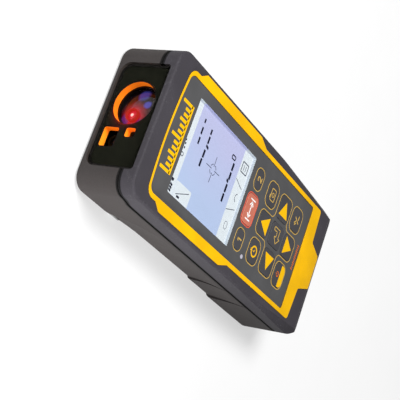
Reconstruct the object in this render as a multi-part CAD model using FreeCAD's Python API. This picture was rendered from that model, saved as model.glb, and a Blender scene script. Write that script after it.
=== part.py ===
"""A handheld laser distance meter, in millimetres, one STEP file for each of its pieces.

The meter lies on its back. X runs across the display, Y runs along the housing and points the way
the laser beam leaves, and Z points up, out of the display. The origin is the middle of the back,
on the surface that the meter lies on.

A height ends in _Z, a radius in _R and a thickness in _T. Front means the lens end (+Y).
"""

import FreeCAD
import Part

import math
import os

V = FreeCAD.Vector

# ---------------------------------------------------------------------------------------------
# Driving dimensions
# ---------------------------------------------------------------------------------------------

# Housing
LENGTH = 143.0
WIDTH = 58.6
WALL = 2.0  # side, rear and back walls
FRONT_WALL = 3.2  # thicker, because it carries the window
FRONT_CORNER_R = 6.5
REAR_CORNER_R = 5.0
BACK_EDGE_R = 2.4
DECK_EDGE_R = 0.9
DECK_T = 3.0
SEAL_H = 0.8  # gap between the shells, which the gasket fills
SEAL_RECESS = 0.4  # how far the gasket stands back from the housing's surface
SEAL_W = 1.3
PARTING_DROP = 8.8  # from the deck down to the seam along the sides
PARTING_RISE = 1.7  # how much higher the seam runs across the front
RISE_START = 16.0  # where the rise begins and ends, back from the front face
RISE_END = 5.0
FACET_START = 8.0  # the deck's side facets start this far behind the housing's middle
FACET_RUN = 48.0
FACET_LEG = 2.6  # what the facet takes off after that run
REAR_BEVEL_RUN = 4.0
REAR_BEVEL_DROP = 1.2
WAIST_DEPTH = 1.7  # hollow in the lower side walls, for the fingers
WAIST_STEP = 0.9  # depth of the second hollow, behind the first
WAIST_HEIGHT = 15.5  # where the hollows run out
WAIST_FRONT = 20.0  # where the hollow starts, back from the front face
WAIST_EASE = 30.0  # how far it takes to reach its depth
GRIP_GROOVE_W = 0.8
GRIP_GROOVE_DEPTH = 0.5
GRIP_LINES = ((-16.0, -15.6, -22.5), (-33.0, -34.8, -40.0))  # Y at the foot, middle and seam

# Display side
DECK_FRONT = 8.5  # deck left in front of the face plate
DECK_REAR = 20.2  # and behind it
PLATE_HALF_W = 23.5
PLATE_T = 1.2
PLATE_CORNER_R = 3.2
PLATE_BOW = 1.2  # the plate's front edge is an arc, this much longer in its middle
PLATE_GAP = 0.1
LEDGE = 1.5  # what the plate rests on
RIM_SIDE = 1.9
RIM_FRONT = 1.1
RIM_REAR = 7.3
BEZEL_CORNER_R = 4.4
RIM_PROUD = 0.3
RIM_DEPTH = 1.5
WING_W = 2.4  # the bezel's wings beside the display
WING_FRONT = 7.0  # where the wings start and end, back from the plate's front edge
WING_REAR = 64.0
WING_FRONT_SLANT = 3.6  # how far each end takes to reach the full width
WING_REAR_SLANT = 6.0
TAB_HALF_W = 10.8
TAB_TIP_HALF_W = 7.2
TAB_RUN = 9.4
TAB_SLOPE = 1.2  # how far the rim's rear edge runs back towards the tab

# Display
SCREEN_HALF_W = 19.0
SCREEN_LENGTH = 48.0
SCREEN_FRONT = 11.8  # back from the plate's front edge
GLASS_T = 1.0
PANEL_MARGIN = 0.9
PANEL_T = 1.7
HOLDER_WALL = 0.6
FLEX_T = 0.2
FLEX_HALF_W = 6.0

# Keys: half width, half length, corner radius, and their places back from the display's end
KEY_TRAVEL = 0.5
KEY_PROUD = 0.3
KEY_GAP = 0.15
KEY_EDGE_R = 0.25
FLANGE = 0.5
FLANGE_T = 0.8
STEM_LENGTH = 1.35
STEM_R = 1.6
DOME_R = 2.4
DOME_H = 0.35
DOME_CLEAR = 0.1
SIDE_KEY_X = 12.6

# Power and boards
CELL_R = 7.25
CELL_LENGTH = 49.2
CELL_NUB_R = 2.7
CELL_NUB_H = 1.3
CELL_GAP = 0.3
CONTACT_T = 0.35
CONTACT_SPACE = 1.5
BAY_WALL = 1.3
BAY_FRONT = 65.0  # the bay's front wall, back from the front face
PART_ROOM = 2.6  # height for the parts under the board
BOARD_T = 1.2
BOARD_HALF_W = 21.8
BOARD_FRONT = 11.5
BOARD_REAR = 9.0

# Battery door
DOOR_SKIN = 0.8
DOOR_RECESS = 0.15
DOOR_MARGIN = 1.9
DOOR_GAP = 0.2
DOOR_PLUG_T = 0.9
DOOR_HINGE_R = 0.75
TRUNNION_R = 0.5
TRUNNION_LENGTH = 0.9
HINGE_BACKING = 3.4  # top of the thicker wall over the door's hinge
SCOOP_R = 6.0  # fingernail scoops beside the door and the bracket
SCOOP_DEPTH = 1.2

# End bracket
BRACKET_HALF_W = 13.0
BRACKET_REACH = 18.5
BRACKET_T = 2.2
BRACKET_GAP = 0.35
BRACKET_PIN_R = 0.9
BRACKET_KNUCKLE_R = 1.75
BRACKET_PIN_BACK = 2.6  # pin axis, forward of the rear face
BRACKET_PIN_Z = 2.0
BRACKET_ROOM_Z = 4.2
BRACKET_CEILING = 1.2
PIN_BITE = 2.4
RUNNING_GAP = 0.05
TIGHT_GAP = 0.02

# Window and optics
WINDOW_HALF_W = 20.9
WINDOW_DROP = 2.4  # from the deck down to the glass
WINDOW_FOOT_Z = 2.6
WINDOW_T = 1.0
WINDOW_RECESS = 0.1
WINDOW_TOP_R = 1.4
WINDOW_FOOT_R = 4.2
WINDOW_LEDGE = 1.0
WINDOW_SEAL_T = 0.2
MASK_T = 2.0
LINER_WALL = 0.5
LINER_LENGTH = 3.0
LINER_WEB_T = 0.6
EYE_X = 5.2  # receiver eye
EYE_Z = 13.25
EYE_R = 8.6
LASER_X = 1.8
LASER_Z = 12.0
BARREL_R = 2.6
BARREL_BORE_R = 2.0
BARREL_LENGTH = 15.0
LENS_R = 8.0
LENS_EDGE_T = 1.6
LENS_BULGE = 1.3
FINDER_X = -8.8  # camera opening
FINDER_Z = 7.9
FINDER_HALF_W = 3.8
FINDER_HALF_H = 3.2
SENSOR_X = -6.5  # small opening above the camera
SENSOR_Z = 16.3
SENSOR_HALF_W = 1.8
SENSOR_HALF_H = 2.0
BENCH_HALF_W = 17.0
BENCH_REAR = 43.0  # the bench's rear face, back from the front face
BENCH_ROOM = 0.5
BENCH_HEAD = 22.4  # top of the bench's front block, which holds the lens
OPTICS_BOARD_T = 1.2

# Fasteners and small pieces
SCREW_X = 23.6
SCREW_SHANK_R = 1.0
SCREW_HEAD_R = 2.0
SCREW_HEAD_H = 1.4
SCREW_SINK = 2.2
SCREW_BITE = 5.0
BOSS_R = 2.4
TRIPOD_BORE_R = 2.55
TRIPOD_R = 4.4
TRIPOD_LENGTH = 7.0
TRIPOD_FRONT = 51.0  # back from the front face
TRIPOD_WALL = 1.6
STRAP_PIN_R = 0.7
STRAP_POCKET = 3.2
STRAP_POCKET_LENGTH = 5.2
STRAP_FRONT = 27.7  # middle of the strap pocket, back from the front face
LABEL_HALF_W = 17.0
LABEL_LENGTH = 26.0
LABEL_FRONT = 12.0
LABEL_T = 0.15
LABEL_SINK = 0.3
LIGHT_R = 0.9

# ---------------------------------------------------------------------------------------------
# Places worked out from them
# ---------------------------------------------------------------------------------------------

FRONT_Y = LENGTH / 2
REAR_Y = -LENGTH / 2
HALF_W = WIDTH / 2

# The stack from the back up to the deck
DOOR_OUT_Z = DOOR_RECESS
DOOR_SKIN_Z = DOOR_RECESS + DOOR_SKIN
DOOR_IN_Z = DOOR_SKIN_Z + DOOR_PLUG_T
CELL_Z = DOOR_IN_Z + CELL_GAP + CELL_R
BAY_TOP_Z = CELL_Z + CELL_R + CELL_GAP
CEILING_Z = BAY_TOP_Z + BAY_WALL
BOARD_Z = CEILING_Z + PART_ROOM
BOARD_TOP_Z = BOARD_Z + BOARD_T
STEM_Z = BOARD_TOP_Z + DOME_H + DOME_CLEAR + KEY_TRAVEL
FLANGE_Z = STEM_Z + STEM_LENGTH
PLATE_Z = FLANGE_Z + FLANGE_T
DECK_Z = PLATE_Z + PLATE_T
CAVITY_TOP_Z = DECK_Z - DECK_T
PARTING_Z = DECK_Z - PARTING_DROP

# Along the housing
PLATE_FRONT_Y = FRONT_Y - DECK_FRONT
PLATE_REAR_Y = REAR_Y + DECK_REAR
PLATE_SIDE_Y = PLATE_FRONT_Y - PLATE_BOW
SCREEN_FRONT_Y = PLATE_FRONT_Y - SCREEN_FRONT
SCREEN_REAR_Y = SCREEN_FRONT_Y - SCREEN_LENGTH
BAY_FRONT_Y = FRONT_Y - BAY_FRONT
BAY_LENGTH = CELL_LENGTH + CELL_NUB_H + 2 * CONTACT_SPACE
BAY_REAR_Y = BAY_FRONT_Y - BAY_LENGTH
BAY_HALF_W = 2 * CELL_R + 1.5 * CELL_GAP
BOARD_FRONT_Y = FRONT_Y - BOARD_FRONT
BOARD_REAR_Y = REAR_Y + BOARD_REAR
BRACKET_PIN_Y = REAR_Y + BRACKET_PIN_BACK
DOOR_HINGE_Y = BAY_REAR_Y - DOOR_MARGIN + DOOR_HINGE_R
DOOR_HINGE_Z = DOOR_SKIN_Z
DOOR_HALF_W = BAY_HALF_W + DOOR_MARGIN
DOOR_FRONT_Y = BAY_FRONT_Y + DOOR_MARGIN

# Window, from the front face inwards
WINDOW_TOP_Z = DECK_Z - WINDOW_DROP
GLASS_OUT_Y = FRONT_Y - WINDOW_RECESS
GLASS_IN_Y = GLASS_OUT_Y - WINDOW_T
SEAT_Y = GLASS_IN_Y - WINDOW_SEAL_T
MASK_FRONT_Y = GLASS_IN_Y - 0.1
MASK_REAR_Y = MASK_FRONT_Y - MASK_T
LINER_FRONT_Y = MASK_FRONT_Y - 0.1
LINER_REAR_Y = LINER_FRONT_Y - LINER_LENGTH
BENCH_FRONT_Y = LINER_REAR_Y - 0.1
BENCH_REAR_Y = FRONT_Y - BENCH_REAR
BENCH_TOP_Z = BOARD_Z - BENCH_ROOM

# Keys, each with its middle, half sizes and corner radius
TOP_ROW_Y = SCREEN_REAR_Y - 6.7
UPPER_ROW_Y = SCREEN_REAR_Y - 19.7
CROSS_Y = SCREEN_REAR_Y - 32.3
LOWER_ROW_Y = SCREEN_REAR_Y - 44.2
CROSS_REACH = 11.7
KEYS = {
    "key_dist": (0.0, TOP_ROW_Y - 0.4, 6.2, 4.1, 2.2),
    "key_f1": (-SIDE_KEY_X - 0.5, TOP_ROW_Y, 4.2, 2.9, 2.4),
    "key_f2": (SIDE_KEY_X + 0.5, TOP_ROW_Y, 4.2, 2.9, 2.4),
    "key_timer": (-SIDE_KEY_X, UPPER_ROW_Y, 5.0, 4.2, 2.8),
    "key_camera": (SIDE_KEY_X, UPPER_ROW_Y, 5.0, 4.2, 2.8),
    "key_up": (0.0, CROSS_Y + CROSS_REACH, 4.9, 4.9, 2.4),
    "key_down": (0.0, CROSS_Y - CROSS_REACH, 4.9, 4.9, 2.4),
    "key_left": (-CROSS_REACH - 0.3, CROSS_Y, 5.2, 5.1, 2.4),
    "key_right": (CROSS_REACH + 0.3, CROSS_Y, 5.2, 5.1, 2.4),
    "key_enter": (0.0, CROSS_Y, 4.9, 5.2, 1.6),
    "key_clear": (-SIDE_KEY_X, LOWER_ROW_Y, 5.0, 4.3, 2.8),
    "key_plus": (SIDE_KEY_X, LOWER_ROW_Y, 5.0, 4.3, 2.8),
}
LIGHT_X = -18.0
LIGHT_Y = TOP_ROW_Y - 5.8

# Screws that join the shells, and posts that carry the board
SCREW_PLACES = [
    (side * SCREW_X, y)
    for side in (-1, 1)
    for y in (FRONT_Y - 9.0, BAY_FRONT_Y + 4.0, REAR_Y + 10.5)
]
POST_R = 1.7
POST_X = 19.6
POST_PLACES = [
    (side * POST_X, y)
    for side in (-1, 1)
    for y in (BOARD_FRONT_Y - 3.0, BOARD_REAR_Y + 3.0)
]

# ---------------------------------------------------------------------------------------------
# Shapes
# ---------------------------------------------------------------------------------------------


def box(x0, x1, y0, y1, z0, z1):
    """A block between two corners."""
    return Part.makeBox(x1 - x0, y1 - y0, z1 - z0, V(x0, y0, z0))


def rod(r, start, along, length):
    """A cylinder from a point, along a direction."""
    return Part.makeCylinder(r, length, V(*start), V(*along))


def rounded_polygon(corners, radii):
    """A closed wire in the XY plane through the corners, each rounded by its own radius."""
    radii = radii if isinstance(radii, (list, tuple)) else [radii] * len(corners)
    arcs = []
    for i, (x, y) in enumerate(corners):
        here = V(x, y, 0)
        back = (V(*corners[i - 1], 0) - here).normalize()
        ahead = (V(*corners[(i + 1) % len(corners)], 0) - here).normalize()
        half = back.getAngle(ahead) / 2
        inward = (back + ahead).normalize()
        centre = here + inward * (radii[i] / math.sin(half))
        run = radii[i] / math.tan(half)
        arcs.append((here + back * run, centre - inward * radii[i], here + ahead * run))
    edges = []
    for i, (start, middle, end) in enumerate(arcs):
        edges.append(Part.Arc(start, middle, end).toShape())
        following = arcs[(i + 1) % len(arcs)][0]
        if (following - end).Length > 1e-6:
            edges.append(Part.LineSegment(end, following).toShape())
    return Part.Wire(edges)


def rectangle(x0, x1, y0, y1, r):
    """A rounded rectangle. r is one radius, or one each for the rear and the front corners."""
    rear, front = r if isinstance(r, tuple) else (r, r)
    corners = [(x0, y0), (x1, y0), (x1, y1), (x0, y1)]
    return rounded_polygon(corners, [rear, rear, front, front])


def prism(wire, z0, z1):
    """The wire's area, from one height to another."""
    face = Part.Face(wire)
    face.translate(V(0, 0, z0))
    return face.extrude(V(0, 0, z1 - z0))


def upright(wire, y0, y1):
    """A wire drawn in X and Y becomes an outline in X and Z, and is drawn out from y0 to y1."""
    face = Part.Face(wire)
    face.rotate(V(0, 0, 0), V(1, 0, 0), 90)
    face.translate(V(0, y0, 0))
    return face.extrude(V(0, y1 - y0, 0))


def side_on(points, x0, x1):
    """A polygon given in Y and Z, drawn out along X."""
    wire = Part.makePolygon([V(x0, y, z) for y, z in [*points, points[0]]])
    return Part.Face(wire).extrude(V(x1 - x0, 0, 0))


def mirrored(shape):
    """The same shape on the other side of the housing."""
    return shape.mirror(V(0, 0, 0), V(1, 0, 0))


def both_sides(shape):
    return shape.fuse(mirrored(shape))


def edges_at_height(shape, z):
    """The edges that lie in one level plane."""
    return [
        e
        for e in shape.Edges
        if abs(e.BoundBox.ZMin - z) < 1e-4 and abs(e.BoundBox.ZMax - z) < 1e-4
    ]


def clean(shape):
    """One tidy solid, or a group of solids, with its split faces joined."""
    return shape.removeSplitter()


def keep(name, shape):
    """Writes a piece's STEP file."""
    shape.exportStep(os.path.join("parts", name + ".step"))


# ---------------------------------------------------------------------------------------------
# Housing
# ---------------------------------------------------------------------------------------------


def housing_outline(inset=0.0, front_inset=None):
    """The housing seen from above, made smaller by the inset."""
    front = inset if front_inset is None else front_inset
    radii = (max(REAR_CORNER_R - inset, 0.8), max(FRONT_CORNER_R - front, 0.8))
    return rectangle(
        inset - HALF_W, HALF_W - inset, REAR_Y + inset, FRONT_Y - front, radii
    )


def facet_cutter():
    """A wedge over one side of the deck. What it takes off grows in a straight line to the rear."""
    start_y = -FACET_START
    end_y = REAR_Y - 5.0
    leg = FACET_LEG * (start_y - end_y) / FACET_RUN
    apex = V(HALF_W, start_y, DECK_Z)
    inner = V(HALF_W - leg, end_y, DECK_Z)
    outer = V(HALF_W, end_y, DECK_Z - leg)
    run_on = V(leg, 0, leg)
    base = Part.Face(Part.makePolygon([apex, inner, outer, apex]))
    return base.extrude(run_on)


def grip_arc(line, shift=0.0):
    """A grip line's three points on the side, at its foot, its middle and the seam."""
    heights = (-1.0, PARTING_Z * 0.45, PARTING_Z + 1.0)
    return [V(0, y + shift, z) for y, z in zip(line, heights)]


def grip_area(line):
    """Everything on one side in front of a grip line."""
    foot, middle, top = grip_arc(line)
    front = FRONT_Y + 5
    edges = [
        Part.Arc(foot, middle, top).toShape(),
        Part.LineSegment(top, V(0, front, top.z)).toShape(),
        Part.LineSegment(V(0, front, top.z), V(0, front, foot.z)).toShape(),
        Part.LineSegment(V(0, front, foot.z), foot).toShape(),
    ]
    return Part.Face(Part.Wire(edges)).extrude(V(HALF_W + 5, 0, 0))


def grip_core(depth):
    """The housing's core behind one side hollow: its wall leans outwards and its foot is rounded."""
    start_y = FRONT_Y - WAIST_FRONT
    ease_y = start_y - WAIST_EASE
    inner = HALF_W - depth
    radius = (WAIST_EASE**2 + depth**2) / (2 * depth)
    half_turn = math.asin(WAIST_EASE / radius) / 2
    rear_y = REAR_Y - 3
    outer = HALF_W + 8
    path = [
        V(inner, ease_y, 0),
        V(HALF_W, start_y, 0),
        V(outer, start_y, 0),
        V(outer, FRONT_Y + 6, 0),
        V(-outer, FRONT_Y + 6, 0),
        V(-outer, rear_y, 0),
        V(inner, rear_y, 0),
        V(inner, ease_y, 0),
    ]
    halfway = V(
        inner + radius * (1 - math.cos(half_turn)), ease_y + radius * math.sin(half_turn), 0
    )
    edges = [Part.Arc(path[0], halfway, path[1]).toShape()]
    edges += [Part.LineSegment(p, q).toShape() for p, q in zip(path[1:], path[2:])]
    height = 24.0
    core = Part.Face(Part.Wire(edges)).extrude(V(depth / WAIST_HEIGHT * height, 0, height))
    foot = [
        e
        for e in edges_at_height(core, 0)
        if inner - 0.1 < e.BoundBox.XMin and e.BoundBox.XMax < HALF_W + 0.1
    ]
    return core.makeFillet(BACK_EDGE_R, foot)


def grip_hollow(depth, area):
    """What the hollow takes off the side wall within an area."""
    return area.cut(grip_core(depth))


def waist_cutter():
    """The hollows in one lower side wall: a deep one up to the first line, then a shallow one."""
    deep = grip_hollow(WAIST_DEPTH, grip_area(GRIP_LINES[0]))
    shallow = grip_hollow(WAIST_STEP, grip_area(GRIP_LINES[1]))
    return deep.fuse(shallow)


def housing_form():
    """The whole housing as one block: its outline, facets, bevel, hollows and rounded edges."""
    form = prism(housing_outline(), 0, DECK_Z)
    form = form.makeFillet(BACK_EDGE_R, edges_at_height(form, 0))
    form = form.makeFillet(DECK_EDGE_R, edges_at_height(form, DECK_Z))
    form = form.cut(both_sides(facet_cutter())).cut(both_sides(waist_cutter()))
    bevel = side_on(
        [
            (REAR_Y + REAR_BEVEL_RUN, DECK_Z),
            (REAR_Y, DECK_Z - REAR_BEVEL_DROP),
            (REAR_Y - 4, DECK_Z - REAR_BEVEL_DROP),
            (REAR_Y - 4, DECK_Z + 4),
            (REAR_Y + REAR_BEVEL_RUN, DECK_Z + 4),
        ],
        -HALF_W - 1,
        HALF_W + 1,
    )
    return form.cut(bevel)


def seam_edges(lift):
    """The seam's line in Y and Z, raised by lift: level, then two arcs up to the front's height."""
    start = V(0, FRONT_Y - RISE_START, PARTING_Z + lift)
    end = V(0, FRONT_Y - RISE_END, PARTING_Z + PARTING_RISE + lift)
    middle = (start + end) / 2
    run = middle.y - start.y
    rise = middle.z - start.z
    radius = (run**2 + rise**2) / (2 * rise)
    half_turn = math.asin(run / radius) / 2
    step = V(0, radius * math.sin(half_turn), radius * (1 - math.cos(half_turn)))
    rear = V(0, REAR_Y - 5, start.z)
    front = V(0, FRONT_Y + 5, end.z)
    return [
        Part.LineSegment(rear, start).toShape(),
        Part.Arc(start, start + step, middle).toShape(),
        Part.Arc(middle, end - step, end).toShape(),
        Part.LineSegment(end, front).toShape(),
    ], rear, front


def seam_block(lift, z):
    """All the space between the seam, raised by lift, and a level z."""
    edges, rear, front = seam_edges(lift)
    low_front = V(0, front.y, z)
    low_rear = V(0, rear.y, z)
    edges += [
        Part.LineSegment(front, low_front).toShape(),
        Part.LineSegment(low_front, low_rear).toShape(),
        Part.LineSegment(low_rear, rear).toShape(),
    ]
    face = Part.Face(Part.Wire(edges))
    face.translate(V(-HALF_W - 5, 0, 0))
    return face.extrude(V(WIDTH + 10, 0, 0))


def bezel_outline():
    """The bezel's outer edge: a thin rim, wings beside the display, and a tab over the rear end."""
    side = PLATE_HALF_W + RIM_SIDE
    wing = side + WING_W
    rear = PLATE_REAR_Y - RIM_REAR
    shoulder = rear - TAB_SLOPE
    wing_front = PLATE_FRONT_Y - WING_FRONT
    wing_rear = PLATE_FRONT_Y - WING_REAR
    half = [
        (TAB_TIP_HALF_W, shoulder - TAB_RUN, 1.2),
        (TAB_HALF_W, shoulder, 1.0),
        (side, rear, 1.5),
        (side, wing_rear, 2.5),
        (wing, wing_rear + WING_REAR_SLANT, 2.5),
        (wing, wing_front - WING_FRONT_SLANT, 0.8),
        (side, wing_front, 0.8),
        (side, PLATE_SIDE_Y + RIM_FRONT, BEZEL_CORNER_R),
    ]
    left = [(-x, y, r) for x, y, r in reversed(half)]
    corners = half + left
    return rounded_polygon([c[:2] for c in corners], [c[2] for c in corners])


def bowed(front, half_w):
    """An arc that carries a straight front edge out by the plate's bow."""
    points = V(-half_w, front, 0), V(0, front + PLATE_BOW, 0), V(half_w, front, 0)
    arc = Part.Arc(*points).toShape()
    chord = Part.LineSegment(points[2], points[0]).toShape()
    return Part.Face(Part.Wire([arc, chord]))


def bezel_area(z0, z1):
    """The bezel's outline with its bowed front edge, as a block."""
    half_w = PLATE_HALF_W + RIM_SIDE - BEZEL_CORNER_R
    bow = bowed(PLATE_SIDE_Y + RIM_FRONT, half_w)
    bow.translate(V(0, 0, z0))
    return clean(prism(bezel_outline(), z0, z1).fuse(bow.extrude(V(0, 0, z1 - z0))))


def plate_area(z0, z1, grow=0.0):
    """The face plate's outline with its bowed front edge, as a block."""
    outline = rectangle(
        -PLATE_HALF_W - grow,
        PLATE_HALF_W + grow,
        PLATE_REAR_Y - grow,
        PLATE_SIDE_Y + grow,
        (1.2, PLATE_CORNER_R),
    )
    bow = bowed(PLATE_SIDE_Y + grow, PLATE_HALF_W + grow - PLATE_CORNER_R)
    bow.translate(V(0, 0, z0))
    return clean(prism(outline, z0, z1).fuse(bow.extrude(V(0, 0, z1 - z0))))


def window_outline(inset):
    """The front window, drawn in X and Z, made smaller by the inset."""
    x = WINDOW_HALF_W - inset
    corners = [
        (-x, WINDOW_FOOT_Z + inset),
        (x, WINDOW_FOOT_Z + inset),
        (x, WINDOW_TOP_Z - inset),
        (-x, WINDOW_TOP_Z - inset),
    ]
    foot = max(WINDOW_FOOT_R - inset, 0.6)
    top = max(WINDOW_TOP_R - inset, 0.6)
    return rounded_polygon(corners, [foot, foot, top, top])


def window_hole():
    """What the window's seat takes out of the front wall."""
    seat = upright(window_outline(-0.1), SEAT_Y, FRONT_Y + 3)
    return seat.fuse(upright(window_outline(WINDOW_LEDGE), FRONT_Y - FRONT_WALL - 1, SEAT_Y + 1))


def upper_shell(form):
    """The deck half of the housing: deck, walls, screw bosses and the plate's ledge."""
    shell = form.cut(seam_block(SEAL_H, -10))
    cavity = prism(housing_outline(WALL, FRONT_WALL), PARTING_Z - 5, CAVITY_TOP_Z)
    shell = shell.cut(cavity)
    for x, y in SCREW_PLACES:
        shell = shell.fuse(rod(BOSS_R, (x, y, PARTING_Z), (0, 0, 1), CAVITY_TOP_Z - PARTING_Z))
    for x, y in SCREW_PLACES:
        shell = shell.cut(
            rod(SCREW_SHANK_R + TIGHT_GAP, (x, y, PARTING_Z - 1), (0, 0, 1), SCREW_BITE + 1.5)
        )
    channel = bezel_area(0, DECK_Z + 5).cut(form.translated(V(0, 0, -RIM_DEPTH)))
    shell = shell.cut(channel)
    shell = shell.cut(plate_area(PLATE_Z, DECK_Z + 5))
    opening = rectangle(
        LEDGE - PLATE_HALF_W,
        PLATE_HALF_W - LEDGE,
        PLATE_REAR_Y + LEDGE,
        PLATE_SIDE_Y - LEDGE,
        1.5,
    )
    shell = shell.cut(prism(opening, PARTING_Z, DECK_Z + 1))
    return clean(shell.cut(window_hole()))


def groove_cutter(line, depth):
    """A curved groove along a grip line, sunk below the hollow in front of it."""
    rear = grip_arc(line, -GRIP_GROOVE_W)
    front = grip_arc(line)
    edges = [
        Part.Arc(*rear).toShape(),
        Part.LineSegment(rear[2], front[2]).toShape(),
        Part.Arc(*reversed(front)).toShape(),
        Part.LineSegment(front[0], rear[0]).toShape(),
    ]
    strip = Part.Face(Part.Wire(edges)).extrude(V(HALF_W + 5, 0, 0))
    return grip_hollow(depth, strip).translated(V(-GRIP_GROOVE_DEPTH, 0, 0))


def door_room():
    """What the battery door takes out of the back: its recess, its hinge groove and pin holes."""
    skin = box(
        -DOOR_HALF_W,
        DOOR_HALF_W,
        DOOR_HINGE_Y,
        DOOR_FRONT_Y,
        -1,
        DOOR_SKIN_Z + 0.05,
    )
    groove = rod(
        DOOR_HINGE_R + DOOR_GAP,
        (-DOOR_HALF_W, DOOR_HINGE_Y, DOOR_HINGE_Z),
        (1, 0, 0),
        2 * DOOR_HALF_W,
    )
    mouth = box(
        -DOOR_HALF_W,
        DOOR_HALF_W,
        DOOR_HINGE_Y - DOOR_HINGE_R - DOOR_GAP,
        DOOR_HINGE_Y,
        -1,
        DOOR_HINGE_Z,
    )
    reach = DOOR_HALF_W + TRUNNION_LENGTH
    holes = rod(
        TRUNNION_R + RUNNING_GAP,
        (-reach, DOOR_HINGE_Y, DOOR_HINGE_Z),
        (1, 0, 0),
        2 * reach,
    )
    scoop = rod(SCOOP_R, (-6.0, DOOR_FRONT_Y, -SCOOP_R + SCOOP_DEPTH), (1, 0, 0), 12.0)
    return skin.fuse([groove, mouth, holes, scoop])


def bracket_room():
    """What the end bracket takes out of the back and the rear wall."""
    half = BRACKET_HALF_W + BRACKET_GAP
    tip = BRACKET_PIN_Y + BRACKET_REACH + BRACKET_GAP
    plate_room = prism(
        rectangle(-half, half, REAR_Y - 3, tip, (0.5, 3.0)), -1, BRACKET_T + 2 * BRACKET_GAP
    )
    hinge_room = box(
        -half, half, REAR_Y - 3, BRACKET_PIN_Y + BRACKET_KNUCKLE_R + 0.8, -1, BRACKET_ROOM_Z
    )
    fingers = both_sides(
        rod(SCOOP_R, (half, tip - 9.0, -SCOOP_R + SCOOP_DEPTH), (0, 1, 0), 7.0)
    )
    return plate_room.fuse([hinge_room, fingers])


def lower_shell(form):
    """The back half: walls, battery bay, board posts, tripod boss and the bracket's bay."""
    below = seam_block(0, -10)
    shell = form.common(below)
    thick = WALL + WAIST_DEPTH
    shell = shell.cut(prism(housing_outline(WALL, FRONT_WALL), WAIST_HEIGHT, DECK_Z))
    shell = shell.cut(prism(housing_outline(thick, FRONT_WALL), WALL, WAIST_HEIGHT + 1))
    inside = prism(housing_outline(0.6), 0.5, CEILING_Z).common(form)

    bay_out = box(
        -BAY_HALF_W - BAY_WALL,
        BAY_HALF_W + BAY_WALL,
        BAY_REAR_Y - BAY_WALL,
        BAY_FRONT_Y + BAY_WALL,
        WALL - 0.5,
        CEILING_Z,
    )
    hinge_half = DOOR_HALF_W + TRUNNION_LENGTH + 1.2
    hinge_wall = box(
        -hinge_half,
        hinge_half,
        DOOR_HINGE_Y - DOOR_HINGE_R - DOOR_GAP - 0.9,
        BAY_REAR_Y,
        WALL - 0.5,
        HINGE_BACKING,
    )
    additions = [bay_out, hinge_wall]
    top = BRACKET_ROOM_Z + BRACKET_CEILING
    additions.append(
        box(
            -BRACKET_HALF_W - PIN_BITE - 1.6,
            BRACKET_HALF_W + PIN_BITE + 1.6,
            REAR_Y + 0.3,
            BRACKET_PIN_Y + BRACKET_REACH + 1.6,
            WALL - 0.5,
            top,
        ).common(inside)
    )
    for x, y in SCREW_PLACES:
        additions.append(rod(BOSS_R + 0.4, (x, y, 1.0), (0, 0, 1), PARTING_Z - 1.0))
    for x, y in POST_PLACES:
        additions.append(rod(POST_R, (x, y, WALL - 0.5), (0, 0, 1), BOARD_Z - WALL + 0.5))
    tripod_y = FRONT_Y - TRIPOD_FRONT
    additions.append(
        rod(
            TRIPOD_R + TRIPOD_WALL,
            (0, tripod_y, WALL - 0.5),
            (0, 0, 1),
            TRIPOD_LENGTH + TRIPOD_WALL - WALL + 0.5,
        )
    )
    strap_y = FRONT_Y - STRAP_FRONT
    additions.append(
        box(
            -HALF_W + 0.5,
            -HALF_W + STRAP_POCKET + 1.4,
            strap_y - STRAP_POCKET_LENGTH / 2 - 1.6,
            strap_y + STRAP_POCKET_LENGTH / 2 + 1.6,
            0.5,
            STRAP_POCKET + 1.4,
        ).common(inside)
    )
    shell = shell.fuse(additions)

    bay_in = box(-BAY_HALF_W, BAY_HALF_W, BAY_REAR_Y, BAY_FRONT_Y, -1, BAY_TOP_Z)
    removals = [bay_in, door_room(), bracket_room(), window_hole()]
    for x, y in SCREW_PLACES:
        removals.append(rod(SCREW_HEAD_R + 0.2, (x, y, -1), (0, 0, 1), SCREW_SINK + 1))
        removals.append(rod(SCREW_SHANK_R + 0.15, (x, y, -1), (0, 0, 1), DECK_Z))
    for x, y in POST_PLACES:
        removals.append(rod(0.82, (x, y, BOARD_Z - 5), (0, 0, 1), 6))
    removals.append(
        rod(TRIPOD_R + TIGHT_GAP, (0, tripod_y, -1), (0, 0, 1), TRIPOD_LENGTH + 1)
    )
    removals.append(
        box(
            -HALF_W - 1,
            -HALF_W + STRAP_POCKET,
            strap_y - STRAP_POCKET_LENGTH / 2,
            strap_y + STRAP_POCKET_LENGTH / 2,
            -1,
            STRAP_POCKET,
        )
    )
    removals.append(strap_rod(STRAP_PIN_R + TIGHT_GAP, 1.1))
    removals.append(bracket_pin_rod(BRACKET_PIN_R + TIGHT_GAP, PIN_BITE + 0.1))
    label_y = FRONT_Y - LABEL_FRONT
    label = rectangle(-LABEL_HALF_W, LABEL_HALF_W, label_y - LABEL_LENGTH, label_y, 1.5)
    removals.append(prism(label, -1, LABEL_SINK))
    for line, depth in zip(GRIP_LINES, (WAIST_DEPTH, WAIST_STEP)):
        removals.append(both_sides(groove_cutter(line, depth)))
    for removal in removals:
        shell = shell.cut(removal)
    return clean(shell)


def shell_gasket():
    """The strip of rubber in the seam."""
    band = seam_block(SEAL_H, -10).cut(seam_block(0, -10))
    ring = prism(housing_outline(SEAL_RECESS), PARTING_Z - 1, DECK_Z)
    ring = ring.cut(
        prism(housing_outline(SEAL_RECESS + SEAL_W), PARTING_Z - 2, DECK_Z + 1)
    )
    ring = ring.common(band)
    gap = upright(window_outline(-0.5), FRONT_Y - FRONT_WALL - 2, FRONT_Y + 3)
    return clean(ring.cut(gap))


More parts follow.
